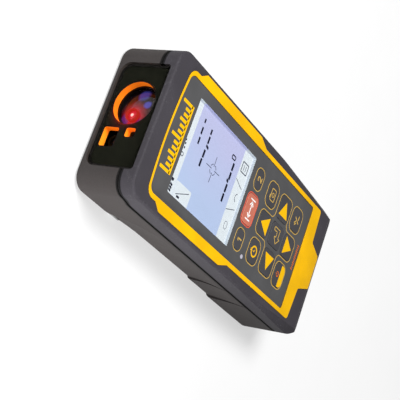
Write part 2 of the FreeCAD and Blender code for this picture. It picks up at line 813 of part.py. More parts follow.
def housing_screws():
    """Six pan-head screws, from the back up into the upper shell."""
    group = []
    for x, y in SCREW_PLACES:
        head = rod(SCREW_HEAD_R, (x, y, SCREW_SINK - SCREW_HEAD_H), (0, 0, 1), SCREW_HEAD_H)
        head = head.makeFillet(0.5, edges_at_height(head, SCREW_SINK - SCREW_HEAD_H))
        tip = PARTING_Z + SCREW_BITE
        shank = rod(SCREW_SHANK_R, (x, y, SCREW_SINK), (0, 0, 1), tip - SCREW_SINK)
        slot = prism(star_outline(x, y), SCREW_SINK - SCREW_HEAD_H - 1, SCREW_SINK - 0.5)
        group.append(clean(head.fuse(shank).cut(slot)))
    return Part.makeCompound(group)


def star_outline(x, y, tip_r=1.05, root_r=0.75, points=6):
    """A six-pointed driver recess."""
    corners = []
    for i in range(2 * points):
        r = tip_r if i % 2 == 0 else root_r
        angle = math.pi * i / points
        corners.append((x + r * math.cos(angle), y + r * math.sin(angle)))
    return rounded_polygon(corners, 0.08)


# ---------------------------------------------------------------------------------------------
# Display side
# ---------------------------------------------------------------------------------------------


def bezel_frame(form):
    """The coloured frame round the face plate, following the deck and standing a little proud."""
    frame = bezel_area(0, DECK_Z + 5).common(form.translated(V(0, 0, RIM_PROUD)))
    frame = frame.cut(form.translated(V(0, 0, -RIM_DEPTH)))
    return clean(frame.cut(plate_area(0, DECK_Z + 6)))


def key_outline(name, grow=0.0):
    x, y, half_w, half_l, r = KEYS[name]
    half_w, half_l, r = half_w + grow, half_l + grow, r + grow
    return rectangle(x - half_w, x + half_w, y - half_l, y + half_l, r)


def screen_outline(grow):
    return rectangle(
        -SCREEN_HALF_W - grow,
        SCREEN_HALF_W + grow,
        SCREEN_REAR_Y - grow,
        SCREEN_FRONT_Y + grow,
        0.6 + max(grow, 0),
    )


def face_plate():
    """The dark plate with the display's and the keys' openings."""
    plate = plate_area(PLATE_Z, DECK_Z, -PLATE_GAP)
    plate = plate.cut(prism(screen_outline(PLATE_GAP), PLATE_Z - 1, DECK_Z + 1))
    for name in KEYS:
        plate = plate.cut(prism(key_outline(name, KEY_GAP), PLATE_Z - 1, DECK_Z + 1))
    light = rod(LIGHT_R + 0.1, (LIGHT_X, LIGHT_Y, PLATE_Z - 1), (0, 0, 1), PLATE_T + 2)
    return clean(plate.cut(light))


def display_window():
    return prism(screen_outline(0), DECK_Z - 0.1 - GLASS_T, DECK_Z - 0.1)


def display_panel():
    """The liquid-crystal panel with its backlight."""
    top = PLATE_Z - 0.05
    return prism(screen_outline(PANEL_MARGIN), top - PANEL_T, top)


def display_holder():
    """A tray on the board that holds the panel under its window."""
    top = PLATE_Z - 0.1
    tray = prism(screen_outline(PANEL_MARGIN + 0.1 + HOLDER_WALL), BOARD_TOP_Z, top)
    pocket = prism(
        screen_outline(PANEL_MARGIN + 0.1), PLATE_Z - 0.1 - PANEL_T, PLATE_Z + 1
    )
    return clean(tray.cut(pocket))


def key(name):
    """A key: a cap through the plate, a flange that the plate holds down, and a stem."""
    x, y, _, _, _ = KEYS[name]
    cap = prism(key_outline(name), PLATE_Z - 0.1, DECK_Z + KEY_PROUD)
    cap = cap.makeFillet(KEY_EDGE_R, edges_at_height(cap, DECK_Z + KEY_PROUD))
    flange = prism(key_outline(name, FLANGE), FLANGE_Z - 0.05, PLATE_Z - 0.05)
    stem = rod(STEM_R, (x, y, STEM_Z), (0, 0, 1), FLANGE_Z - STEM_Z)
    return clean(cap.fuse([flange, stem]))


def keypad_carrier():
    """The spacer under the plate, with a well round each key."""
    carrier = prism(
        rectangle(
            LEDGE + 0.2 - PLATE_HALF_W,
            PLATE_HALF_W - LEDGE - 0.2,
            PLATE_REAR_Y + LEDGE + 0.2,
            SCREEN_REAR_Y - PANEL_MARGIN - HOLDER_WALL - 0.3,
            1.2,
        ),
        BOARD_TOP_Z,
        PLATE_Z - 0.05,
    )
    for name in KEYS:
        well = prism(key_outline(name, FLANGE + 0.15), BOARD_TOP_Z - 1, PLATE_Z + 1)
        carrier = carrier.cut(well)
    light = rod(LIGHT_R + 0.4, (LIGHT_X, LIGHT_Y, BOARD_TOP_Z - 1), (0, 0, 1), 10)
    return clean(carrier.cut(light))


def snap_domes():
    """One metal dome on the board under each key, as a slice of a sphere."""
    radius = (DOME_R**2 + DOME_H**2) / (2 * DOME_H)
    group = []
    for x, y, _, _, _ in KEYS.values():
        ball = Part.makeSphere(radius, V(x, y, BOARD_TOP_Z + DOME_H - radius))
        slab = rod(DOME_R, (x, y, BOARD_TOP_Z), (0, 0, 1), DOME_H)
        group.append(ball.common(slab))
    return Part.makeCompound(group)


def status_light():
    """A light guide from the board up to the plate."""
    height = DECK_Z + 0.05 - BOARD_TOP_Z - 0.6
    return rod(LIGHT_R, (LIGHT_X, LIGHT_Y, BOARD_TOP_Z + 0.6), (0, 0, 1), height)


# ---------------------------------------------------------------------------------------------
# Boards
# ---------------------------------------------------------------------------------------------


def main_board():
    board = prism(
        rectangle(-BOARD_HALF_W, BOARD_HALF_W, BOARD_REAR_Y, BOARD_FRONT_Y, 1.5),
        BOARD_Z,
        BOARD_TOP_Z,
    )
    for x, y in POST_PLACES:
        board = board.cut(rod(1.0, (x, y, BOARD_Z - 1), (0, 0, 1), BOARD_T + 2))
    for x, y in SCREW_PLACES:
        board = board.cut(rod(BOSS_R + 0.3, (x, y, BOARD_Z - 1), (0, 0, 1), BOARD_T + 2))
    return clean(board)


def board_screws():
    group = []
    for x, y in POST_PLACES:
        head = rod(1.6, (x, y, BOARD_TOP_Z), (0, 0, 1), 0.7)
        shank = rod(0.8, (x, y, BOARD_Z - 4), (0, 0, 1), BOARD_TOP_Z - BOARD_Z + 4)
        group.append(clean(head.fuse(shank)))
    return Part.makeCompound(group)


def below_board(x, y, half_w, half_l, height):
    """A block of a part soldered under the board."""
    return box(x - half_w, x + half_w, y - half_l, y + half_l, BOARD_Z - height, BOARD_Z)


def board_chips():
    """Processor, memory, power regulator and two crystals."""
    y = BAY_REAR_Y
    chips = [
        below_board(-6, y + 14, 5.0, 5.0, 1.2),
        below_board(6, y + 14, 4.0, 3.0, 1.0),
        below_board(-4, y + 32, 3.0, 2.5, 1.1),
        below_board(5, y + 27, 2.5, 1.0, 0.8),
        below_board(12, y + 34, 1.6, 1.6, 1.4),
    ]
    return Part.makeCompound(chips)


def radio_module():
    """The short-range radio under its metal can."""
    return below_board(-13, BOARD_REAR_Y + 13, 5.5, 4.0, 1.8)


def tilt_sensor():
    return below_board(12, BOARD_REAR_Y + 22, 2.0, 2.0, 1.0)


def buzzer():
    """A round sounder with its sound hole."""
    y = BOARD_REAR_Y + 6.5
    can = rod(5.5, (4, y, BOARD_Z - 3.2), (0, 0, 1), 3.2)
    hole = rod(0.9, (4, y, BOARD_Z - 4), (0, 0, 1), 2.0)
    return can.cut(hole)


def status_lamp():
    """The small lamp under the light guide."""
    return box(
        LIGHT_X - 0.5, LIGHT_X + 0.5, LIGHT_Y - 0.8, LIGHT_Y + 0.8, BOARD_TOP_Z, BOARD_TOP_Z + 0.5
    )


HOLDER_FRONT_Y = SCREEN_FRONT_Y + PANEL_MARGIN + 0.1 + HOLDER_WALL
SOCKET_Y = BOARD_FRONT_Y - 4.0


def flex_socket():
    """The display cable's socket, on the board in front of the holder."""
    half = FLEX_HALF_W + 1.0
    return box(-half, half, SOCKET_Y, SOCKET_Y + 2.6, BOARD_TOP_Z, BOARD_TOP_Z + 1.1)


def display_flex():
    """The display's flat cable, arched between the holder and its socket."""
    z = BOARD_TOP_Z + 0.45
    middle = (HOLDER_FRONT_Y + SOCKET_Y) / 2
    arcs = []
    for lift in (0, FLEX_T):
        start = V(-FLEX_HALF_W, HOLDER_FRONT_Y, z + lift)
        crest = V(-FLEX_HALF_W, middle, z + lift + 0.8)
        end = V(-FLEX_HALF_W, SOCKET_Y, z + lift)
        arcs.append((start, crest, end))
    low, high = arcs
    edges = [
        Part.Arc(*low).toShape(),
        Part.LineSegment(low[2], high[2]).toShape(),
        Part.Arc(*reversed(high)).toShape(),
        Part.LineSegment(high[0], low[0]).toShape(),
    ]
    return Part.Face(Part.Wire(edges)).extrude(V(2 * FLEX_HALF_W, 0, 0))


# ---------------------------------------------------------------------------------------------
# Battery bay
# ---------------------------------------------------------------------------------------------


def battery_cell(side):
    """A cell along Y, between its contacts. Its nub points forward on the right-hand side."""
    x = side * (CELL_R + CELL_GAP / 2)
    rear = BAY_REAR_Y + CONTACT_SPACE
    way = 1 if side > 0 else -1
    start = rear if way > 0 else rear + CELL_LENGTH + CELL_NUB_H
    can = rod(CELL_R, (x, start, CELL_Z), (0, way, 0), CELL_LENGTH)
    can = can.makeFillet(0.5, can.Edges[0:1] + can.Edges[2:3])
    nub = rod(CELL_NUB_R, (x, start + way * CELL_LENGTH, CELL_Z), (0, way, 0), CELL_NUB_H)
    return clean(can.fuse(nub))


def contact_plates():
    """Flat contacts on the bay's end walls, each touching a cell's nub."""
    group = []
    for side, y in ((1, BAY_FRONT_Y - CONTACT_T), (-1, BAY_REAR_Y)):
        x = side * (CELL_R + CELL_GAP / 2)
        group.append(box(x - 4.5, x + 4.5, y, y + CONTACT_T, CELL_Z - 5, CELL_Z + 5))
    return Part.makeCompound(group)


def contact_springs():
    """Bowed leaf springs that press on the cells' flat ends."""
    group = []
    for side, wall, way in ((1, BAY_REAR_Y, 1), (-1, BAY_FRONT_Y, -1)):
        x = side * (CELL_R + CELL_GAP / 2)
        crest = wall + way * (CONTACT_SPACE - 0.05)
        low, high = CELL_Z - 5.0, CELL_Z + 5.0
        outer = V(x - 3, wall, low), V(x - 3, crest, CELL_Z), V(x - 3, wall, high)
        inner_crest = V(x - 3, crest - way * CONTACT_T, CELL_Z)
        inner = V(x - 3, wall, high - 1.2), inner_crest, V(x - 3, wall, low + 1.2)
        edges = [
            Part.Arc(*outer).toShape(),
            Part.LineSegment(outer[2], inner[0]).toShape(),
            Part.Arc(*inner).toShape(),
            Part.LineSegment(inner[2], outer[0]).toShape(),
        ]
        group.append(Part.Face(Part.Wire(edges)).extrude(V(6, 0, 0)))
    return Part.makeCompound(group)


def battery_door():
    """The door: a skin in the back's recess, a plug in the bay's mouth, and a pinned rear edge."""
    reach = DOOR_HALF_W - DOOR_GAP
    skin = box(
        -reach, reach, DOOR_HINGE_Y, DOOR_FRONT_Y - DOOR_GAP, DOOR_OUT_Z, DOOR_SKIN_Z
    )
    plug_half = BAY_HALF_W - DOOR_GAP
    plug = box(
        -plug_half,
        plug_half,
        BAY_REAR_Y + 0.6,
        BAY_FRONT_Y - 0.6,
        DOOR_SKIN_Z,
        DOOR_IN_Z,
    )
    bar = rod(DOOR_HINGE_R, (-reach, DOOR_HINGE_Y, DOOR_HINGE_Z), (1, 0, 0), 2 * reach)
    bar = bar.cut(box(-reach - 1, reach + 1, DOOR_HINGE_Y - 9, DOOR_HINGE_Y + 9, -9, DOOR_OUT_Z))
    pin = DOOR_HALF_W + TRUNNION_LENGTH - 0.2
    pins = rod(TRUNNION_R, (-pin, DOOR_HINGE_Y, DOOR_HINGE_Z), (1, 0, 0), 2 * pin)
    door = skin.fuse([plug, bar, pins])
    for i in range(9):
        y = BAY_FRONT_Y - 3.0 - 2.2 * i
        door = door.cut(rod(0.4, (-11, y, DOOR_OUT_Z), (1, 0, 0), 22))
    return clean(door)


def door_seal():
    """A flat rubber ring round the plug."""
    plug_half = BAY_HALF_W - DOOR_GAP
    outline = rectangle(
        1.0 - plug_half, plug_half - 1.0, BAY_REAR_Y + 1.6, BAY_FRONT_Y - 1.6, 1.5
    )
    inner = rectangle(
        2.2 - plug_half, plug_half - 2.2, BAY_REAR_Y + 2.8, BAY_FRONT_Y - 2.8, 1.0
    )
    thick = CELL_GAP * 0.7
    return prism(outline, DOOR_IN_Z, DOOR_IN_Z + thick).cut(
        prism(inner, DOOR_IN_Z - 1, DOOR_IN_Z + 1)
    )


# ---------------------------------------------------------------------------------------------
# End bracket
# ---------------------------------------------------------------------------------------------


def bracket_pin_rod(r, beyond):
    """A rod on the bracket's axis, reaching past the bracket's room by the length given."""
    reach = BRACKET_HALF_W + BRACKET_GAP + beyond
    return rod(r, (-reach, BRACKET_PIN_Y, BRACKET_PIN_Z), (1, 0, 0), 2 * reach)


def end_bracket():
    """The fold-out stop: a plate that lies in the back, on a knuckle round the pin."""
    plate = prism(
        rectangle(
            -BRACKET_HALF_W,
            BRACKET_HALF_W,
            BRACKET_PIN_Y,
            BRACKET_PIN_Y + BRACKET_REACH,
            (0.6, 2.7),
        ),
        BRACKET_GAP,
        BRACKET_GAP + BRACKET_T,
    )
    knuckle = rod(
        BRACKET_KNUCKLE_R,
        (-BRACKET_HALF_W, BRACKET_PIN_Y, BRACKET_PIN_Z),
        (1, 0, 0),
        2 * BRACKET_HALF_W,
    )
    bracket = plate.fuse(knuckle)
    relief = prism(
        rectangle(
            -BRACKET_HALF_W + 3,
            BRACKET_HALF_W - 3,
            BRACKET_PIN_Y + 4.5,
            BRACKET_PIN_Y + BRACKET_REACH - 3,
            1.5,
        ),
        BRACKET_GAP + BRACKET_T - 0.7,
        BRACKET_GAP + BRACKET_T + 1,
    )
    return clean(bracket.cut(relief).cut(bracket_pin_rod(BRACKET_PIN_R + RUNNING_GAP, 5)))


def detent_spring():
    """A leaf over the knuckle that clicks the bracket into its places."""
    y = BRACKET_PIN_Y
    z = BRACKET_ROOM_Z
    return box(-4, 4, y - 1.0, y + BRACKET_KNUCKLE_R, z - 0.25, z)


# ---------------------------------------------------------------------------------------------
# Window and optics
# ---------------------------------------------------------------------------------------------


def front_window():
    return upright(window_outline(0), GLASS_IN_Y, GLASS_OUT_Y)


def window_seal():
    ring = upright(window_outline(0.2), SEAT_Y, GLASS_IN_Y)
    return ring.cut(upright(window_outline(WINDOW_LEDGE), SEAT_Y - 1, GLASS_IN_Y + 1))


def opening_tube(x, z, half_w, half_h, grow, y0, y1):
    """A rectangular opening drawn out along Y."""
    outline = rectangle(
        x - half_w - grow, x + half_w + grow, z - half_h - grow, z + half_h + grow, 0.8
    )
    return upright(outline, y0, y1)


def liner_openings(grow, y0, y1):
    """The eye and the camera's and the sensor's openings, each made wider by grow."""
    eye = rod(EYE_R + grow, (EYE_X, y0, EYE_Z), (0, 1, 0), y1 - y0)
    finder = opening_tube(FINDER_X, FINDER_Z, FINDER_HALF_W, FINDER_HALF_H, grow, y0, y1)
    sensor = opening_tube(SENSOR_X, SENSOR_Z, SENSOR_HALF_W, SENSOR_HALF_H, grow, y0, y1)
    return [eye, finder, sensor]


def optics_liner():
    """The bright moulding whose walls show round the eye, the camera and the sensor."""
    left = FINDER_X - FINDER_HALF_W - LINER_WALL
    right = EYE_X + EYE_R + LINER_WALL
    foot = EYE_Z - EYE_R - LINER_WALL + 0.1
    top = EYE_Z + EYE_R + LINER_WALL - 0.1
    web = upright(
        rectangle(left, right, foot, top, 1.5), LINER_REAR_Y, LINER_REAR_Y + LINER_WEB_T
    )
    liner = web.fuse(liner_openings(LINER_WALL, LINER_REAR_Y, LINER_FRONT_Y))
    for bore in liner_openings(0, LINER_REAR_Y - 1, LINER_FRONT_Y + 1):
        liner = liner.cut(bore)
    return clean(liner)


def optics_mask():
    """The black plate behind the window."""
    mask = upright(window_outline(WINDOW_LEDGE + 0.15), MASK_REAR_Y, MASK_FRONT_Y)
    for hole in liner_openings(LINER_WALL + 0.05, MASK_REAR_Y - 1, MASK_FRONT_Y + 1):
        mask = mask.cut(hole)
    return clean(mask)


def receiver_lens():
    """A plano-convex lens, bored for the laser's barrel."""
    front = BENCH_FRONT_Y - 0.2
    edge = rod(LENS_R, (EYE_X, front - LENS_EDGE_T - LENS_BULGE, EYE_Z), (0, 1, 0), LENS_EDGE_T)
    radius = (LENS_R**2 + LENS_BULGE**2) / (2 * LENS_BULGE)
    ball = Part.makeSphere(radius, V(EYE_X, front - radius, EYE_Z))
    cap = ball.common(rod(LENS_R, (EYE_X, front - LENS_BULGE, EYE_Z), (0, 1, 0), LENS_BULGE))
    bore = rod(BARREL_R + 0.1, (LASER_X, front - 9, LASER_Z), (0, 1, 0), 12)
    return clean(edge.fuse(cap).cut(bore))


def laser_barrel():
    """The tube that carries the laser diode and its collimator."""
    front = BENCH_FRONT_Y + 0.6
    start = (LASER_X, front - BARREL_LENGTH, LASER_Z)
    tube = rod(BARREL_R, start, (0, 1, 0), BARREL_LENGTH)
    bore = (LASER_X, front - BARREL_LENGTH - 1, LASER_Z)
    return tube.cut(rod(BARREL_BORE_R, bore, (0, 1, 0), BARREL_LENGTH + 2))


def collimator_lens():
    """A small convex lens in the mouth of the barrel."""
    r = BARREL_BORE_R - TIGHT_GAP
    front = BENCH_FRONT_Y + 0.3
    disc = rod(r, (LASER_X, front - 1.4, LASER_Z), (0, 1, 0), 1.4)
    radius = 3.0
    ball = Part.makeSphere(radius, V(LASER_X, front - radius, LASER_Z))
    return disc.common(ball)


def laser_diode():
    """The diode's can, pushed into the barrel's rear end, with its three legs."""
    y = BENCH_FRONT_Y + 0.6 - BARREL_LENGTH
    can = rod(BARREL_BORE_R - TIGHT_GAP, (LASER_X, y, LASER_Z), (0, 1, 0), 2.4)
    legs = [
        rod(0.22, (LASER_X + dx, y - 3.0, LASER_Z + dz), (0, 1, 0), 3.0)
        for dx, dz in ((-0.8, -0.5), (0.8, -0.5), (0, 0.9))
    ]
    return clean(can.fuse(legs))


def optical_bench():
    """The cast block: lens seat, receiver cone, barrel clamp and camera pocket."""
    bench = box(-BENCH_HALF_W, BENCH_HALF_W, BENCH_REAR_Y, BENCH_FRONT_Y, WALL, BENCH_TOP_Z)
    head_y = BOARD_FRONT_Y + 0.5
    bench = bench.fuse(
        box(-BENCH_HALF_W, BENCH_HALF_W, head_y, BENCH_FRONT_Y, BENCH_TOP_Z - 1, BENCH_HEAD)
    )
    seat_depth = LENS_EDGE_T + LENS_BULGE + 0.4
    seat = rod(
        LENS_R + 0.05, (EYE_X, BENCH_FRONT_Y - seat_depth, EYE_Z), (0, 1, 0), seat_depth + 1
    )
    cone_length = BENCH_FRONT_Y - seat_depth - BENCH_REAR_Y
    cone = Part.makeCone(
        3.0, LENS_R - 0.8, cone_length + 1, V(EYE_X, BENCH_REAR_Y - 1, EYE_Z), V(0, 1, 0)
    )
    pocket = box(
        FINDER_X - FINDER_HALF_W - 0.6,
        FINDER_X + FINDER_HALF_W + 0.6,
        BENCH_FRONT_Y - 8.0,
        BENCH_FRONT_Y + 1,
        FINDER_Z - FINDER_HALF_H - 0.6,
        FINDER_Z + FINDER_HALF_H + 0.6,
    )
    sensor = rod(1.3, (SENSOR_X, BENCH_FRONT_Y - 3.0, SENSOR_Z), (0, 1, 0), 4)
    bench = bench.cut(seat).cut(cone).cut(pocket).cut(sensor)
    clamp_y = BENCH_FRONT_Y - BARREL_LENGTH + 3.0
    clamp = rod(BARREL_R + 1.0, (LASER_X, clamp_y, LASER_Z), (0, 1, 0), 5.0)
    strut = box(LASER_X - 1.0, LASER_X + 1.0, clamp_y, clamp_y + 5.0, WALL + 1, LASER_Z)
    bench = bench.fuse([clamp, strut])
    barrel_room = rod(
        BARREL_R + TIGHT_GAP, (LASER_X, clamp_y - 6, LASER_Z), (0, 1, 0), BARREL_LENGTH + 12
    )
    for x, z in BENCH_SCREW_PLACES:
        bench = bench.cut(rod(0.82, (x, BENCH_REAR_Y - 1, z), (0, 1, 0), 5.5))
    return clean(bench.cut(barrel_room))


BENCH_SCREW_PLACES = [(-13.5, BENCH_TOP_Z - 3.0), (13.5, WALL + 3.0)]


def optics_board():
    """The small upright board behind the bench."""
    board = box(
        -BENCH_HALF_W + 0.5,
        BENCH_HALF_W - 0.5,
        BENCH_REAR_Y - OPTICS_BOARD_T,
        BENCH_REAR_Y,
        WALL + 0.8,
        BENCH_TOP_Z - 0.3,
    )
    for x, z in BENCH_SCREW_PLACES:
        board = board.cut(rod(1.0, (x, BENCH_REAR_Y - 5, z), (0, 1, 0), 8))
    return board


def bench_screws():
    group = []
    face = BENCH_REAR_Y - OPTICS_BOARD_T
    for x, z in BENCH_SCREW_PLACES:
        head = rod(1.6, (x, face - 1.0, z), (0, 1, 0), 1.0)
        shank = rod(0.8, (x, face, z), (0, 1, 0), OPTICS_BOARD_T + 4.0)
        group.append(clean(head.fuse(shank)))
    return Part.makeCompound(group)


def photo_detector():
    """The light detector's can, at the narrow end of the cone."""
    can = rod(2.2, (EYE_X, BENCH_REAR_Y, EYE_Z), (0, 1, 0), 2.0)
    return can.makeFillet(0.3, can.Edges[0:1])


def camera_module():
    """The view finder's camera: a block with a stepped nose."""
    y = BENCH_FRONT_Y - 7.5
    block = box(
        FINDER_X - FINDER_HALF_W,
        FINDER_X + FINDER_HALF_W,
        y,
        y + 3.0,
        FINDER_Z - FINDER_HALF_H,
        FINDER_Z + FINDER_HALF_H,
    )
    nose = rod(2.7, (FINDER_X, y + 3.0, FINDER_Z), (0, 1, 0), 3.6)
    bore = rod(1.9, (FINDER_X, y + 5.2, FINDER_Z), (0, 1, 0), 5)
    return clean(block.fuse(nose).cut(bore))


def camera_lens():
    y = BENCH_FRONT_Y - 2.3
    disc = rod(1.9 - TIGHT_GAP, (FINDER_X, y, FINDER_Z), (0, 1, 0), 1.2)
    return disc.common(Part.makeSphere(2.6, V(FINDER_X, y - 1.4, FINDER_Z)))


def ambient_sensor():
    """The small light sensor behind the upper opening."""
    return rod(1.2, (SENSOR_X, BENCH_FRONT_Y - 2.6, SENSOR_Z), (0, 1, 0), 2.2)


# ---------------------------------------------------------------------------------------------
# Small pieces of the back
# ---------------------------------------------------------------------------------------------


def tripod_insert():
    """A knurled brass insert with the tripod's bore."""
    y = FRONT_Y - TRIPOD_FRONT
    body = rod(TRIPOD_R, (0, y, 0.1), (0, 0, 1), TRIPOD_LENGTH - 0.2)
    bore = rod(TRIPOD_BORE_R, (0, y, -1), (0, 0, 1), TRIPOD_LENGTH - 0.3)
    return clean(body.cut(bore))


def strap_rod(r, beyond):
    """A rod across the strap's pocket, reaching into its walls."""
    y = FRONT_Y - STRAP_FRONT - STRAP_POCKET_LENGTH / 2 - beyond
    length = STRAP_POCKET_LENGTH + 2 * beyond
    inset = STRAP_PIN_R + 0.6
    return rod(r, (-HALF_W + inset, y, inset), (0, 1, 0), length)


def rating_label():
    y = FRONT_Y - LABEL_FRONT
    inset = 0.15
    outline = rectangle(
        inset - LABEL_HALF_W, LABEL_HALF_W - inset, y - LABEL_LENGTH + inset, y - inset, 1.4
    )
    return prism(outline, LABEL_SINK - LABEL_T, LABEL_SINK)


# ---------------------------------------------------------------------------------------------
# All pieces
# ---------------------------------------------------------------------------------------------


def main():
    os.makedirs("parts", exist_ok=True)
    form = housing_form()
    pieces = {
        "upper_shell": upper_shell(form),
        "lower_shell": lower_shell(form),
        "shell_gasket": shell_gasket(),
        "housing_screws": housing_screws(),
        "bezel_frame": bezel_frame(form),
        "face_plate": face_plate(),
        "display_window": display_window(),
        "display_panel": display_panel(),
        "display_holder": display_holder(),
        "keypad_carrier": keypad_carrier(),
        "snap_domes": snap_domes(),
        "status_light": status_light(),
        "status_lamp": status_lamp(),
        "main_board": main_board(),
        "board_screws": board_screws(),
        "board_chips": board_chips(),
        "radio_module": radio_module(),
        "tilt_sensor": tilt_sensor(),
        "buzzer": buzzer(),
        "flex_socket": flex_socket(),
        "display_flex": display_flex(),
        "battery_cell_left": battery_cell(-1),
        "battery_cell_right": battery_cell(1),
        "contact_plates": contact_plates(),
        "contact_springs": contact_springs(),
        "battery_door": battery_door(),
        "door_seal": door_seal(),
        "end_bracket": end_bracket(),
        "bracket_pin": bracket_pin_rod(BRACKET_PIN_R, PIN_BITE),
        "detent_spring": detent_spring(),
        "front_window": front_window(),
        "window_seal": window_seal(),
        "optics_mask": optics_mask(),
        "optics_liner": optics_liner(),
        "receiver_lens": receiver_lens(),
        "laser_barrel": laser_barrel(),
        "collimator_lens": collimator_lens(),
        "laser_diode": laser_diode(),
        "optical_bench": optical_bench(),
        "optics_board": optics_board(),
        "bench_screws": bench_screws(),
        "photo_detector": photo_detector(),
        "camera_module": camera_module(),
        "camera_lens": camera_lens(),
        "ambient_sensor": ambient_sensor(),
        "tripod_insert": tripod_insert(),
        "strap_pin": strap_rod(STRAP_PIN_R, 1.0),
        "rating_label": rating_label(),
    }
    for name in KEYS:
        pieces[name] = key(name)
    for name, shape in pieces.items():
        keep(name, shape)


main()
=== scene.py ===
from math import cos, pi, radians, sin

import bmesh
import bpy
import numpy as np
from mathutils import Matrix, Vector


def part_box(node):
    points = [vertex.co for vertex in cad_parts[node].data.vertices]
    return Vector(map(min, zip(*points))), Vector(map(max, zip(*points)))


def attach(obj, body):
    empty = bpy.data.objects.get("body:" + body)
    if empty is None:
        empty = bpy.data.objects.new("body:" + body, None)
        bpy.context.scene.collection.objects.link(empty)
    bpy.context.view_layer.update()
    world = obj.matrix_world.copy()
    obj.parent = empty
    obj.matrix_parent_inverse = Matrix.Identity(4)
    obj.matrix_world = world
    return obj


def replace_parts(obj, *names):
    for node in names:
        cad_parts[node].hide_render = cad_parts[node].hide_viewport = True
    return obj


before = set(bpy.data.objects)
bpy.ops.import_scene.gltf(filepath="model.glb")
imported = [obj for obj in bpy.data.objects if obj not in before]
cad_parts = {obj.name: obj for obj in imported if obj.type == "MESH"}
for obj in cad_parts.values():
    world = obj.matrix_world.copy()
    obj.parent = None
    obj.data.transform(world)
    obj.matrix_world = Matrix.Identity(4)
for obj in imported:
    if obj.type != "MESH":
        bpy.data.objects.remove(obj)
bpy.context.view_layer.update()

# Looks of the laser distance meter. Lengths are in millimetres, in the frame's axes, unless a line says metres.
MM = 0.001


def edges_of(node):
    """A node's lowest and highest corner, in millimetres."""
    low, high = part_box(node)
    return np.array(low) / MM, np.array(high) / MM


def middle_of(node):
    """The middle of a node's box, in millimetres."""
    low, high = edges_of(node)
    return (low + high) / 2


PLATE_TOP = edges_of("face_plate")[1][2]
KEY_TOP = edges_of("key_dist")[1][2]
PANEL_TOP = edges_of("display_panel")[1][2]
FLANGE = 0.5  # how far a key's flange reaches past its cap, under the plate
KEY_CORNER = {"key_dist": 2.2}
KEY_CORNER |= dict.fromkeys(("key_timer", "key_camera", "key_clear", "key_plus"), 2.8)
KEY_CORNER |= dict.fromkeys(("key_f1", "key_f2", "key_up", "key_down", "key_left", "key_right"), 2.4)


def cap_of(key):
    """A key cap's middle (x, y) and its half width and half length."""
    low, high = edges_of(key)
    half = (high - low) / 2 - FLANGE
    return *middle_of(key)[:2], *half[:2]


# ---------------------------------------------------------------------------------------------
# Surfaces
# ---------------------------------------------------------------------------------------------


def grid_quads(rows, columns, closed):
    """The quads of a grid of points: (i, j), (i + 1, j), (i + 1, j + 1), (i, j + 1). The columns go round, and the rows
    do as well where closed."""
    i, j = np.arange(rows if closed else rows - 1), np.arange(columns)
    i, j = (a.ravel() for a in np.meshgrid(i, j, indexing="ij"))
    i2, j2 = (i + 1) % rows, (j + 1) % columns
    return np.stack([i * columns + j, i2 * columns + j, i2 * columns + j2, i * columns + j2], 1)


def fan(pole, ring):
    """Triangles from one point to each pair of neighbours in a ring of point numbers."""
    return np.stack([np.full(len(ring), pole), ring, np.roll(ring, -1)], 1)


def capped(points, closed=False):
    """The surface over a grid of points whose columns go round. Where the rows don't go round as well, each end gets a
    pole in its middle."""
    rows, columns = points.shape[:2]
    quads = grid_quads(rows, columns, closed)
    points = points.reshape(-1, 3)
    if closed:
        return points, quads, np.zeros((0, 3), int)
    first = np.arange(columns)
    last = first + (rows - 1) * columns
    poles = np.stack([points[first].mean(0), points[last].mean(0)])
    fans = np.concatenate([fan(len(points), first), fan(len(points) + 1, last[::-1])])
    return np.concatenate([points, poles]), quads, fans


def inside_out(surface):
    """A surface with its faces turned the other way."""
    points, quads, fans = surface
    return points, quads[:, ::-1], fans[:, ::-1]


def carried(path, profile, closed):
    """A profile carried along a level path. point(i, j) = path(i) + across(i) * u(j) + up * v(j), where across is the
    path's direction turned a quarter to the right."""
    path, profile = np.asarray(path, float), np.asarray(profile, float)
    if closed:
        along = np.roll(path, -1, 0) - np.roll(path, 1, 0)
    else:
        along = np.gradient(path, axis=0)
    along /= np.linalg.norm(along, axis=1, keepdims=True)
    across = np.stack([along[:, 1], -along[:, 0]], 1)
    flat = path[:, None, :] + across[:, None, :] * profile[None, :, :1]
    height = np.broadcast_to(profile[None, :, 1:], flat.shape[:2] + (1,))
    return capped(np.concatenate([flat, height], 2), closed)


def raised(width, low, high):
    """The cross-section of a printed or moulded line: flat underneath, with its top edges rounded off."""
    w, e = width / 2, min(width / 5, (high - low) * 0.8)
    return [(-w, low), (w, low), (w, high - e), (w - e, high), (e - w, high), (-w, high - e)]


def stroke(path, width, low, high):
    """An open line: the raised cross-section carried along a path."""
    return carried(path, raised(width, low, high), False)


def loop(path, width, low, high):
    """A closed line: the raised cross-section carried round a path."""
    return carried(path, raised(width, low, high), True)


def figure(outline, low, high):
    """A filled flat figure. ring(k) = middle + scale(k) * (outline - middle) at height(k), from the underside over the
    wall and the rounded edge to the top."""
    outline = np.asarray(outline, float)
    middle = outline.mean(0)
    reach = np.linalg.norm(outline - middle, axis=1).mean()
    edge = min((high - low) * 0.8, reach / 6)
    scale = np.array([1, 1, 1 - 0.3 * edge / reach, 1 - edge / reach])
    height = np.array([low, high - edge, high - 0.3 * edge, high])
    flat = middle + scale[:, None, None] * (outline - middle)[None]
    height = np.broadcast_to(height[:, None, None], flat.shape[:2] + (1,))
    return inside_out(capped(np.concatenate([flat, height], 2)))


def arc(x, y, radius, start, end, steps=24):
    """Points on a circle: middle + radius * (cos t, sin t), t from start to end in degrees."""
    t = np.radians(np.linspace(start, end, steps))
    return np.stack([x + radius * np.cos(t), y + radius * np.sin(t)], 1)


